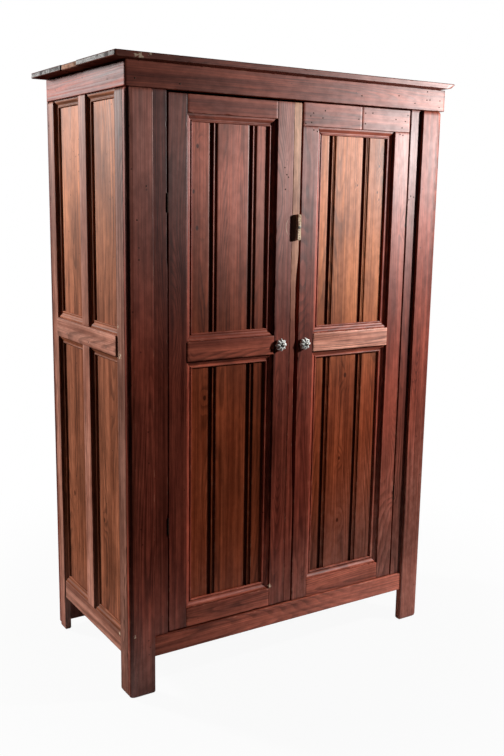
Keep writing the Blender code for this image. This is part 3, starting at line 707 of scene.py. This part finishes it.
# How fading, which also paints sheen, and brightness change along a board, from its low end to its high end
BOARD_DRIFT = {
    "front_frieze": (-0.60, 0.30),
    "front_bottom_rail": (-0.68, 0.50),
    "left_door_bottom_rail": (-0.55, 0.20),
    "right_door_mid_rail": (0.10, 1.40),
    "side_mid_rail_left": (0.30, -0.35),
}

# Boards whose wood isn't the usual stained one, by the start of their names
BOARD_KINDS = {
    "newer": ("left_door_edge_strip",),
    "pale": ("right_door_mid_rail", "side_front_stile", "side_rear_stile", "side_muntin", "side_mid_rail",
             "side_bottom_rail"),
    "honey": ("side_panel",),
    "raw": ("floor_", "hanging_rail", "rail_socket"),
}


def kind_of(node):
    """The kind of wood of a board, from its name."""
    return next((kind for kind, starts in BOARD_KINDS.items() if node.startswith(starts)), "stained")


# Boards made again with rubbed edges, by the start of their names
WORN_BOARDS = ("post_", "side_front_stile", "side_rear_stile", "side_bottom_rail", "side_mid_rail",
               "side_muntin", "side_frieze", "face_strip", "front_", "top_board", "left_door_", "right_door_")

# First index of each group of pieces, which moves the figure of the wood or the wear of its edges
FIRST_INDEX = {"boards": 20, "top": 70, "panels": 80, "door_mouldings": 90, "side_mouldings": 100,
               "button": 130}

# Angles in degrees over which an edge stays sharp
BOARD_CREASE = 60
TRIM_CREASE = 35
KNOB_CREASE = 50
NAIL_CREASE = 40


class WARDROBE_OT_finishes(bpy.types.Operator):
    """Make the node groups and the materials"""

    bl_idname = "wardrobe.finishes"
    bl_label = "Finishes"

    # Kinds of wood: their grain directions, their dark, light and faded colours, the heights between which
    # they fade, and how much a scuff brightens them. The fading also paints sheen on the upper parts, and the
    # scuffs also paint the floor's bounce light low down
    woods = (
        ("stained", "upright deep", "deep warm faded", (0.98, 1.70), 0.45),
        ("stained", "across", "rail_deep rail_warm faded", (0.98, 1.70), 0.45),
        ("pale", "upright across deep", "pale_dark pale_light faded", (0.98, 1.70), 0.0),
        ("golden", "upright", "golden_dark golden_light golden", (0.80, 1.30), 0.0),
        ("russet", "upright", "golden_dark golden_light russet", (0.95, 1.55), 0.0),
        ("honey", "upright deep", "honey_dark honey_light honey", (1.00, 1.45), 0.0),
        ("newer", "upright across", "deep warm newer", (0.88, 1.70), 0.0),
        ("raw", "across deep", "raw_dark raw raw", (0.98, 1.70), 0.0),
    )

    # Colours of rust on the iron and tarnish on the steel
    rust = (0.06, 0.028, 0.014)
    tarnish = (0.12, 0.10, 0.08)

    def execute(self, context):
        marks_group()
        figure_group()
        ageing_group()
        shades = colours()
        for kind, directions, names, heights, scuff_and_bounce in self.woods:
            dark, light, faded = (getattr(shades, name) for name in names.split())
            for direction in directions.split():
                wood_finish(f"{kind}_{direction}", direction, dark, light, faded, heights, scuff_and_bounce)
        end_finish("limed_end", shades.lime, shades.grey, 0.3)
        end_finish("newer_end", shades.newer_end, shades.newer, 0.3)
        end_finish("bare_split", shades.cream, shades.worn, 0.6)
        metal_finish("dark_iron", shades.iron, 0.45, self.rust)
        metal_finish("dull_steel", shades.steel, 0.30, self.tarnish)
        glass_finish("pressed_glass", shades.glass)
        return {"FINISHED"}


class WARDROBE_OT_plain_boards(bpy.types.Operator):
    """Ease the edges of the CAD boards that stay, and give each its own finish"""

    bl_idname = "wardrobe.plain_boards"
    bl_label = "Plain boards"

    def execute(self, context):
        for index, (name, node) in enumerate(sorted(NODES.items())):
            direction = grain_of(name)
            if direction is None or name.startswith(WORN_BOARDS):
                continue
            refinish(node, f"{kind_of(name)}_{direction}")
            weld = node.modifiers.new("weld", "WELD")
            weld.merge_threshold = 0.00005
            bevel = node.modifiers.new("arris", "BEVEL")
            bevel.width = 0.0008
            bevel.segments = 2
            bevel.limit_method = "ANGLE"
            bevel.angle_limit = math.radians(35)
            bevel.harden_normals = True
            set_tone(node, index, *BOARD_TONES.get(name, (0.5, 0.8)))
        return {"FINISHED"}


class WARDROBE_OT_worn_boards(bpy.types.Operator):
    """Make the boards of the case and the door frames with rubbed edges"""

    bl_idname = "wardrobe.worn_boards"
    bl_label = "Worn boards"

    def execute(self, context):
        names = [name for name in sorted(NODES) if name.startswith(WORN_BOARDS) and grain_of(name)]
        for index, name in enumerate(names):
            if name.startswith("top_board"):
                continue
            direction = grain_of(name)
            bm = bmesh.new()
            for low, high in self.parts(name):
                first, second, span = spans(low, high, direction)
                if "side_frieze" in name:
                    span = (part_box("front_frieze")[0].y, span[1])
                foot = FOOT_EASE if low.z < 0.01 else END_EASE
                drift = BOARD_DRIFT.get(name, (0.0, 0.0))
                worn_board(bm, lambda t: self.section(name, first, second, t), span, direction, index + low.z,
                           end=foot, drift=drift, trim=self.mitre(name, low, high))
            kind = kind_of(name)
            slot = "newer_pine" if kind == "newer" else "stained_pine"
            body = next((door for door in ("left_door", "right_door") if name.startswith(door)), "case")
            mesh = mesh_from(bm, BOARD_CREASE)
            piece = add_piece(f"{name}_board", mesh, [f"{kind}_{direction}"], body)
            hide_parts(name)
            set_tone(piece, FIRST_INDEX["boards"] + index, *BOARD_TONES.get(name, ()))
        return {"FINISHED"}

    def parts(self, name):
        """A board's boxes: a side muntin stops at the rail that crosses it."""
        low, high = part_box(name)
        if "muntin" not in name:
            return [(low, high)]
        rail_low, rail_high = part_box(name.replace("muntin", "mid_rail"))
        under = Vector((high.x, high.y, rail_low.z - FIT_GAP))
        over = Vector((low.x, low.y, rail_high.z + FIT_GAP))
        return [(low, under), (over, high)]

    def mitre(self, name, low, high):
        """How far a point of a frieze board's section stops short at the start and stop of the board."""
        if name == "front_frieze":
            return lambda spot: (spot.x - low.y, spot.x - low.y)
        if "side_frieze" in name:
            face = low.x if name.endswith("left") else high.x
            return lambda spot: (abs(spot.y - face) + FIT_GAP, 0.0)
        return None

    def section(self, name, first, second, t):
        """A board's section at a place along it. Two strips narrow: by the knobs, and at the left hinges."""
        if name.startswith("post"):
            return self.post_section(name, first, second)
        if name == "left_door_edge_strip":
            narrow = 0.008 * fade(t, 0.45, 0.75) * (1 - fade(t, 1.18, 1.30))
            first = (first[0], first[1] - narrow * (1 + 0.25 * noise.noise(Vector((0.0, 0.0, 14.0 * t)))))
        if name == "face_strip_left":
            foot, head = (corner.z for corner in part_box("left_lower_hinge_frame_leaf"))
            clear = fade(t, 1.24, 1.28) + fade(t, foot - 0.02, foot) - fade(t, head, head + 0.02)
            first = (first[0], first[1] + 0.0022 * (1 - clear))
        return rectangle(first, second)

    def post_section(self, name, across, depth):
        """A post's section, with its outer front corner worn round."""
        front, side = sizes().corner_front, sizes().corner_side
        box = rectangle(across, depth)
        left = name.endswith("left")
        corner = []
        for turn in range(4):
            angle = math.pi / 2 * (turn / 3 if left else 1 - turn / 3)
            inset = Vector((front * (1 - math.cos(angle)), side * (1 - math.sin(angle))))
            corner.append(Vector((across[0] + inset.x if left else across[1] - inset.x, depth[0] + inset.y)))
        return corner + box[1:] if left else box[:1] + corner + box[2:]


class WARDROBE_OT_top_boards(bpy.types.Operator):
    """Make the three worn boards of the top, with ragged, weathered ends"""

    bl_idname = "wardrobe.top_boards"
    bl_label = "Top boards"

    # Tone and fading (which also paints sheen), end finish and how far each board stops short at the left
    boards = {
        "front": ((0.44, 0.1), "limed_end", 0.0),
        "middle": ((0.46, 0.6), "newer_end", 0.004),
        "rear": ((0.40, 0.1), "limed_end", 0.001),
    }

    # Radius of the worn corner, and how much further back its lower edge is worn
    corner = 0.03
    undercut = 0.022

    def execute(self, context):
        for index, (name, (tone, end, short)) in enumerate(self.boards.items(), FIRST_INDEX["top"]):
            low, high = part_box(f"top_board_{name}")
            first, second, span = spans(low, high, "across")
            bm = bmesh.new()
            trim = self.worn_corner if name == "front" else None
            worn_board(bm, lambda t: rectangle(first, second), (span[0] + short, span[1]), "across", index,
                       arris=1.6, end=0.003, ragged=0.003, end_slot=1, drift=(-0.65, 0.35), trim=trim)
            kind = "newer" if name == "middle" else "stained"
            piece = add_piece(f"top_board_{name}_worn", mesh_from(bm, BOARD_CREASE), [f"{kind}_across", end],
                              "case")
            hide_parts(f"top_board_{name}")
            set_tone(piece, index, *tone)
        return {"FINISHED"}

    def worn_corner(self, spot):
        """The front board's right corner is worn round, and more so underneath."""
        low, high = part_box("top_board_front")
        beyond = self.corner - min(max(spot.x - low.y, 0.0), self.corner)
        under = (high.z - spot.y) / (high.z - low.z)
        return 0.0, self.corner - math.sqrt(self.corner ** 2 - beyond ** 2) + self.undercut * under ** 2


def bead_section(low, high, starts, front, back):
    """Door boards in plan, as points with an x, a y and their wear.

    Each joint between two flats has a sunk, reeded bead in front and a notch behind.
    """
    width, depth, radius = sizes().bead_width, sizes().bead_depth, sizes().reed_radius
    level = front + sizes().reed_sink + radius
    sunk = front + depth
    ease = 0.0012
    edge = ((3 * ease, 0.0, 0.0), (ease, 0.0, 0.5), (0.3 * ease, 0.3 * ease, 0.8), (0.0, ease, 0.3))
    points = [(low, front, 0.0)]
    for start in starts:
        end = start + width
        points += [(start - away, front + drop, wear) for away, drop, wear in edge]
        points += [(start, sunk, 0.0), (end - 4 * radius, sunk, 0.0)]
        for reed in (3, 1):
            centre = end - reed * radius
            for step in range(9):
                angle = math.pi * (0.04 + 0.92 * step / 8)
                points.append((centre - radius * math.cos(angle), level - radius * math.sin(angle), 0.3))
        points.append((end, level, 0.0))
        points += [(end + away, front + drop, wear) for away, drop, wear in reversed(edge)]
    points += [(high, front, 0.0), (high, back, 0.0)]
    notch = ((0.009, 0.0, 0.0), (0.0065, 0.002, 0.8), (0.0055, 0.002, 0.8), (0.003, 0.0, 0.0))
    for start in reversed(starts):
        points += [(start + away, back - drop, wear) for away, drop, wear in notch]
    return points + [(low, back, 0.0)]


class WARDROBE_OT_door_boards(bpy.types.Operator):
    """Make the beaded boards of the doors, with a sunk bead at each joint"""

    bl_idname = "wardrobe.door_boards"
    bl_label = "Door boards"

    first_bead = {"left": 0.079, "right": 0.053}
    finishes = {"left": "russet_upright", "right": "golden_upright"}
    tones = {"left": (0.46, 0.60), "right": (0.46, 0.52, 0.55)}
    pitch = 0.129

    # Painted shade deep in each bead: how far the sunk part strays in fading, brightness and sheen, to keep
    # it dark
    groove_painted_shade = -0.85

    # How far the boards from left to right stray in fading, which also paints sheen, and brightness, below
    # and above the mid rail
    drifts = {
        ("left", False): (0.0, -0.1, -0.45),
        ("left", True): (0.0, 0.1, 0.0),
        ("right", False): (0.05, 0.0, 0.05),
        ("right", True): (0.15, 0.1, 0.05),
    }

    def execute(self, context):
        for index, side in enumerate(("left", "right"), FIRST_INDEX["panels"]):
            node = f"{side}_door_panel"
            low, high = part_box(node)
            starts = [low.x + self.first_bead[side] + turn * self.pitch for turn in range(2)]
            outline = bead_section(low.x, high.x, starts, low.y, high.y)
            bm = bmesh.new()
            board, worn, change = (float_layer(bm, name) for name in ("board", "wear", "drift"))
            rings = []
            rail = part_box(f"{side}_door_mid_rail")
            for z in (low.z, rail[0].z + 0.02, rail[1].z - 0.02, high.z):
                upper = z > rail[0].z + 0.03
                ring = []
                for x, y, wear in outline:
                    count = sum(x > start + 0.006 for start in starts)
                    # Points deep in a bead, which get the painted shade
                    sunk = (low.y + 0.0045 < y <= low.y + sizes().bead_depth
                            and any(start <= x <= start + sizes().bead_width for start in starts))
                    vertex = bm.verts.new((x, y, z))
                    vertex[board] = count + 3 * upper
                    vertex[worn] = wear
                    vertex[change] = self.groove_painted_shade if sunk else self.drifts[side, upper][count]
                    ring.append(vertex)
                rings.append(ring)
            loft(bm, rings)
            piece = add_piece(f"{side}_door_boards", mesh_from(bm, TRIM_CREASE), [self.finishes[side]],
                              f"{side}_door")
            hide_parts(node)
            set_tone(piece, index, *self.tones[side])
        return {"FINISHED"}


# Distance between two sections of a moulding, and how far it stops short of the panel
MOULDING_STEP = 0.02
PANEL_GAP = 0.0002


def moulding_section(depth):
    """A planted ogee as inset, drop and wear, from its back edge over its face to its inner foot."""
    width, sink, nose = sizes().moulding_width, 0.28 * depth, 0.61 * depth
    radius = 0.0026
    points = [(0.0003, depth, 0.0), (0.0003, sink + 0.0006, 0.2), (0.0009, sink, 0.7), (0.0024, sink, 0.4),
              (0.0028, sink + 0.0012, 0.0)]
    start, stop, hollow = 0.0028, width - 0.0057, nose + 0.0020
    for step in range(1, 11):
        t = step / 10
        swell = t - math.sin(2 * math.pi * t) / (2 * math.pi)
        points.append((start + (stop - start) * t, sink + 0.0012 + (hollow - sink - 0.0012) * swell, 0.1))
    for step in range(9):
        angle = math.pi * (step / 8 - 0.42) * 0.82
        points.append((width - 2 * radius + radius * (1 + math.sin(angle)),
                       nose + radius * (1 - math.cos(angle)), 0.3 * max(0.0, math.cos(angle))))
    return points + [(width, depth, 0.0)]


def moulding_strips(bm, opening, section, place, slip=0.0):
    """Add four mitred strips round an opening. Across strips get material 0, upright ones material 1.

    slip is how far the last strip stops short of the top corner, as if it had slipped down.
    """
    a0, a1, b0, b1 = opening
    gap = sizes().mitre_gap
    worn = float_layer(bm, "wear")
    runs = [
        (lambda u: ((a0 + u + gap, b0 + u), (a1 - u - gap, b0 + u)), 0),
        (lambda u: ((a1 - u, b0 + u + gap), (a1 - u, b1 - u - gap)), 1),
        (lambda u: ((a1 - u - gap, b1 - u), (a0 + u + gap, b1 - u)), 0),
        (lambda u: ((a0 + u, b1 - u - gap - slip), (a0 + u, b0 + u + gap)), 1),
    ]
    for run, slot in runs:
        first, last = run(0.0)
        count = max(2, round((Vector(last) - Vector(first)).length / MOULDING_STEP))
        rings = []
        for step in range(count + 1):
            ring = []
            for inset, drop, wear in section:
                near, far = (Vector(spot) for spot in run(inset))
                spot = near.lerp(far, step / count)
                wave = 0.00025 * noise.noise(Vector((30.0 * spot.x, 30.0 * spot.y, 170.0 * inset)))
                ring.append(bm.verts.new(place(spot.x, spot.y, drop + wave if wear else drop)))
                ring[-1][worn] = wear
            rings.append(ring)
        loft(bm, rings, slot, slot)


class WARDROBE_OT_mouldings(bpy.types.Operator):
    """Plant mitred mouldings round the panels of the doors and the sides"""

    bl_idname = "wardrobe.mouldings"
    bl_label = "Mouldings"

    def execute(self, context):
        for index, side in enumerate(("left", "right")):
            self.add_to_door(side, FIRST_INDEX["door_mouldings"] + 2 * index)
        for index, side in enumerate(("left", "right"), FIRST_INDEX["side_mouldings"]):
            self.add_to_side(side, index)
        return {"FINISHED"}

    def add_to_door(self, side, index):
        """Add the mouldings below and above a door's mid rail. One strip of the right door has slipped."""
        door = f"{side}_door"
        names = ("hinge", "meeting") if side == "left" else ("meeting", "hinge")
        first, last = (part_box(f"{door}_{name}_stile") for name in names)
        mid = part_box(f"{door}_mid_rail")
        face = first[0].y
        section = moulding_section(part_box(f"{door}_panel")[0].y - face - PANEL_GAP)
        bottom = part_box(f"{door}_bottom_rail")[1].z
        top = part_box("left_door_top_rail" if side == "left" else "right_door_top_board_inner")[0].z
        levels = {"lower": (bottom, mid[0].z), "upper": (mid[1].z, top)}
        for turn, (level, (low, high)) in enumerate(levels.items()):
            bm = bmesh.new()
            slip = 0.005 if (side, level) == ("right", "upper") else 0.0
            moulding_strips(bm, (first[1].x, last[0].x, low, high), section,
                            lambda a, b, drop: (a, face + drop, b), slip)
            piece = add_piece(f"{door}_{level}_moulding", mesh_from(bm, TRIM_CREASE),
                              ["stained_across", "stained_upright"], door)
            set_tone(piece, index + turn, 0.76)

    def add_to_side(self, side, index):
        """Add the mouldings of the four fields of a side."""
        names = ("front_stile", "rear_stile", "muntin", "mid_rail", "panel")
        front, rear, muntin, mid, panel = (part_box(f"side_{name}_{side}") for name in names)
        outer, inward = (0, 1) if side == "left" else (1, -1)
        face = front[outer].x
        section = moulding_section(abs(panel[outer].x - face) - PANEL_GAP)
        bm = bmesh.new()
        for low, high in ((panel[0].z, mid[0].z), (mid[1].z, panel[1].z)):
            for near, far in ((front[1].y, muntin[0].y), (muntin[1].y, rear[0].y)):
                moulding_strips(bm, (near, far, low, high), section,
                                lambda a, b, drop: (face + inward * drop, a, b))
        piece = add_piece(f"side_mouldings_{side}", mesh_from(bm, TRIM_CREASE),
                          ["honey_deep", "honey_upright"], "case")
        set_tone(piece, index, 0.5, 0.5)


class WARDROBE_OT_knobs(bpy.types.Operator):
    """Press the fluted glass knobs"""

    bl_idname = "wardrobe.knobs"
    bl_label = "Knobs"

    lobes = 8
    points_round = 96

    # How much wider the fluted rim is than the plain knob
    swell = 1.12

    # Share of the radius and of the depth, from the door out to the middle of the face
    profile = ((0.50, 0.0), (0.50, 0.16), (0.74, 0.22), (0.95, 0.34), (1.0, 0.48), (0.98, 0.62), (0.90, 0.76),
               (0.76, 0.88), (0.58, 0.96), (0.42, 1.0), (0.34, 0.96), (0.30, 0.80))

    def execute(self, context):
        for side in ("left", "right"):
            low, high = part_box(f"{side}_glass_knob")
            middle = (low + high) / 2
            radius = self.swell * (high.x - low.x) / 2
            depth = high.y - low.y
            bm = bmesh.new()
            worn = float_layer(bm, "wear")
            rings = []
            for share, out in self.profile:
                ring = []
                for turn in range(self.points_round):
                    around = 2 * math.pi * turn / self.points_round
                    dip = 1 - abs(math.cos(self.lobes / 2 * around)) ** 0.7
                    reach = radius * share * (1 - 0.24 * dip * fade(share, 0.55, 0.95))
                    x = middle.x + reach * math.cos(around)
                    y = high.y - depth * (out - 0.28 * dip * fade(share, 0.36, 0.6) * fade(out, 0.3, 0.7))
                    vertex = bm.verts.new((x, y, middle.z + reach * math.sin(around)))
                    # The flutes and the middle of the face get painted shade, kept with the wear
                    vertex[worn] = max(dip ** 5, 1 - fade(share, 0.32, 0.46))
                    ring.append(vertex)
                rings.append(ring)
            loft(bm, rings)
            piece = add_piece(f"{side}_fluted_knob", mesh_from(bm, KNOB_CREASE), ["pressed_glass"],
                              f"{side}_door")
            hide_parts(f"{side}_glass_knob")
        return {"FINISHED"}


class WARDROBE_OT_button(bpy.types.Operator):
    """Carve the turn button, with a pale split face"""

    bl_idname = "wardrobe.button"
    bl_label = "Turn button"

    def execute(self, context):
        low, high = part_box("turn_button")
        first, second, span = spans(low, high, "upright")
        bm = bmesh.new()
        worn_board(bm, lambda t: rectangle(first, second), span, "upright", FIRST_INDEX["button"], end=0.003)
        piece = add_piece("turn_button_carved", mesh_from(bm, BOARD_CREASE), ["bare_split"], "turn_button")
        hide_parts("turn_button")
        return {"FINISHED"}


class WARDROBE_OT_hardware(bpy.types.Operator):
    """Give the hinges and bolts their finishes, and drive the nails"""

    bl_idname = "wardrobe.hardware"
    bl_label = "Hardware"

    # Nails on the front: the board and the body they are in, and their places as x and z
    front_nails = {
        "frieze_nails": ("front_frieze", "case", (
            (0.376, 1.755), (0.442, 1.737), (0.492, 1.775), (0.491, 1.750), (0.504, 1.751), (0.546, 1.751),
            (0.544, 1.731), (0.231, 1.745), (-0.383, 1.734), (-0.514, 1.739))),
        "post_nails": ("post_left", "case", ((-0.481, 1.468), (-0.509, 1.379), (-0.504, 1.274))),
        "stile_nails": ("left_door_meeting_stile", "left_door", (
            (-0.0315, 1.529), (-0.024, 1.509), (-0.018, 1.502), (-0.028, 1.467))),
        "strip_nails": ("face_strip_right", "case", ((0.456, 1.454), (0.449, 1.443), (0.4685, 1.451))),
        "top_board_nails": ("right_door_top_board_inner", "right_door", (
            (0.381, 1.686), (0.056, 1.678), (0.100, 1.675), (0.288, 1.700), (0.407, 1.662), (0.039, 1.656),
            (0.068, 1.639), (0.081, 1.636), (0.400, 1.642), (0.412, 1.640), (0.066, 1.687), (0.060, 1.660),
            (0.108, 1.696), (0.235, 1.679), (0.260, 1.698), (0.260, 1.667), (0.429, 1.701), (0.419, 1.682))),
    }

    # Nails in the boards of each side, as y and z
    side_nails = {
        "frieze": ((0.224, 1.748), (0.282, 1.753), (0.013, 1.764), (-0.158, 1.744)),
        "mid_rail": ((0.170, 1.021), (0.001, 1.018), (-0.126, 1.021)),
    }

    # A nail head's rings, as shares of its radius: how wide and how high
    head = ((0.8, -0.4), (1.0, 0.0), (0.95, 0.14), (0.6, 0.3), (0.2, 0.36))

    def execute(self, context):
        for name, node in NODES.items():
            if "leaf" in name:
                refinish(node, "dark_iron")
            elif "bolt" in name or "screw" in name:
                refinish(node, "dull_steel")
        for name, (board, body, nails) in self.front_nails.items():
            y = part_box(board)[0].y
            self.add_nails(name, body, [(x, y, z) for x, z in nails], (0, -1, 0))
        for side, outer, facing in (("left", 0, (-1, 0, 0)), ("right", 1, (1, 0, 0))):
            for board, nails in self.side_nails.items():
                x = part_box(f"side_{board}_{side}")[outer].x
                self.add_nails(f"side_{board}_nails_{side}", "case", [(x, y, z) for y, z in nails], facing)
        return {"FINISHED"}

    def add_nails(self, name, body, places, facing):
        """Add low domed nail heads that face along an axis."""
        bm = bmesh.new()
        radius = sizes().nail_radius
        turn = Vector(facing).to_track_quat("Z", "Y")
        angles = [step * math.pi / 6 for step in range(12)]
        for place in places:
            rings = []
            for reach, height in self.head:
                spots = [Vector((reach * math.cos(a), reach * math.sin(a), height)) for a in angles]
                rings.append([bm.verts.new(Vector(place) + turn @ (spot * radius)) for spot in spots])
            loft(bm, rings)
        add_piece(name, mesh_from(bm, NAIL_CREASE), ["dark_iron"], body)


def area_light(name, power, size, place, target):
    """Add a square area light that the camera doesn't see."""
    lamp = bpy.data.lights.new(name, "AREA")
    lamp.energy = power
    lamp.shape = "SQUARE"
    lamp.size = size
    light = bpy.data.objects.new(name, lamp)
    light.location = place
    light.rotation_euler = (Vector(target) - Vector(place)).to_track_quat("-Z", "Y").to_euler()
    light.visible_camera = False
    bpy.context.scene.collection.objects.link(light)


class WARDROBE_OT_stage(bpy.types.Operator):
    """Set the floor, the lights, the world and the camera"""

    bl_idname = "wardrobe.stage"
    bl_label = "Stage"

    # The camera's place, and how far it turns, looks down and leans, in degrees
    camera_place = (-1.5899, -2.5345, 1.4447)
    camera_turn = -32.548
    camera_down = 11.029
    camera_lean = 0.9087

    def execute(self, context):
        scene = context.scene
        stage = scene.wardrobe_stage
        scene.view_settings.view_transform = "Standard"
        self.add_floor()
        self.add_world(scene, stage)
        area_light("key_light", stage.key_power, 0.13, (1.48, -1.2, 1.70), (0.0, -0.25, 1.1))
        area_light("side_light", stage.side_power, 0.7, (-3.3, 4.6, 2.45), (-0.54, 0.0, 0.95))
        self.add_camera(scene, stage)
        return {"FINISHED"}

    def add_floor(self):
        """A floor that looks almost white, with a faint shadow, and lights the piece only near its feet."""
        bm = bmesh.new()
        bmesh.ops.create_grid(bm, x_segments=1, y_segments=1, size=30)
        floor = bpy.data.objects.new("floor", mesh_from(bm))
        floor.location.z = -0.0005
        bpy.context.scene.collection.objects.link(floor)
        finish, tree, shader = principled("pale_floor")
        seen = add_node(tree, "LightPath")["Is Camera Ray"]
        place = own_place(tree)
        near = place.distance((0.10, 0.0, 0.0)).fit(0.6, 1.3)
        bounce = near.mix((0.75, 0.75, 0.75, 1), (0.02, 0.02, 0.02, 1))
        set_inputs(tree, shader, {
            "Base Color": seen.mix(bounce, (0.45, 0.45, 0.45, 1)),
            "Roughness": 0.9,
            "Specular IOR Level": 0.0,
        })
        white = add_node(tree, "Emission", {"Color": (1, 1, 1, 1), "Strength": 1.0})[0]
        share = seen * place.vector("LENGTH")["Value"].fit(0.6, 1.8, 0.94, 1.0)
        both = add_node(tree, "MixShader", {0: share, 1: outputs_of(tree, shader)[0], 2: white})[0]
        set_inputs(tree, tree.nodes["Material Output"], {0: both})
        floor.data.materials.append(finish)

    def add_world(self, scene, stage):
        """A world that looks white but lights the scene only faintly."""
        world = bpy.data.worlds.new("studio")
        world.use_nodes = True
        scene.world = world
        tree = world.node_tree
        path = add_node(tree, "LightPath")
        seen = path["Is Camera Ray"].most(path["Is Transmission Ray"])
        strength = seen.fit(0.0, 1.0, stage.ambient, 1.0, smooth=False)
        set_inputs(tree, tree.nodes["Background"], {"Color": (1, 1, 1, 1), "Strength": strength})

    def add_camera(self, scene, stage):
        """The camera, as fitted to the edges of the wardrobe."""
        camera = bpy.data.objects.new("camera", bpy.data.cameras.new("camera"))
        camera.data.lens = stage.lens
        turn = Matrix.Rotation(math.radians(self.camera_turn), 4, "Z")
        tilt = Matrix.Rotation(math.radians(90 - self.camera_down), 4, "X")
        lean = Matrix.Rotation(math.radians(self.camera_lean), 4, "Z")
        camera.matrix_world = Matrix.Translation(self.camera_place) @ turn @ tilt @ lean
        scene.collection.objects.link(camera)
        scene.camera = camera


class WARDROBE_PT_panel(bpy.types.Panel):
    """Lists the wardrobe's steps and settings"""

    bl_idname = "WARDROBE_PT_panel"
    bl_label = "Wardrobe"
    bl_space_type = "VIEW_3D"
    bl_region_type = "UI"
    bl_category = "Wardrobe"

    def draw(self, context):
        for step in STEPS:
            self.layout.operator(step.bl_idname)
        for group in (sizes(), colours(), context.scene.wardrobe_stage):
            box = self.layout.box()
            for key in group.__annotations__:
                box.prop(group, key)


GROUPS = (WardrobeSizes, WardrobeColours, WardrobeStage)
STEPS = (WARDROBE_OT_finishes, WARDROBE_OT_plain_boards, WARDROBE_OT_worn_boards, WARDROBE_OT_top_boards,
         WARDROBE_OT_door_boards, WARDROBE_OT_mouldings, WARDROBE_OT_knobs, WARDROBE_OT_button,
         WARDROBE_OT_hardware, WARDROBE_OT_stage)


def register():
    for one in (*GROUPS, *STEPS, WARDROBE_PT_panel):
        bpy.utils.register_class(one)
    bpy.types.Scene.wardrobe_sizes = PointerProperty(type=WardrobeSizes)
    bpy.types.Scene.wardrobe_colours = PointerProperty(type=WardrobeColours)
    bpy.types.Scene.wardrobe_stage = PointerProperty(type=WardrobeStage)


def unregister():
    del bpy.types.Scene.wardrobe_stage
    del bpy.types.Scene.wardrobe_colours
    del bpy.types.Scene.wardrobe_sizes
    for one in reversed((*GROUPS, *STEPS, WARDROBE_PT_panel)):
        bpy.utils.unregister_class(one)


def main():
    register()
    for step in STEPS:
        family, name = step.bl_idname.split(".")
        getattr(getattr(bpy.ops, family), name)()


if __name__ == "__main__":
    main()
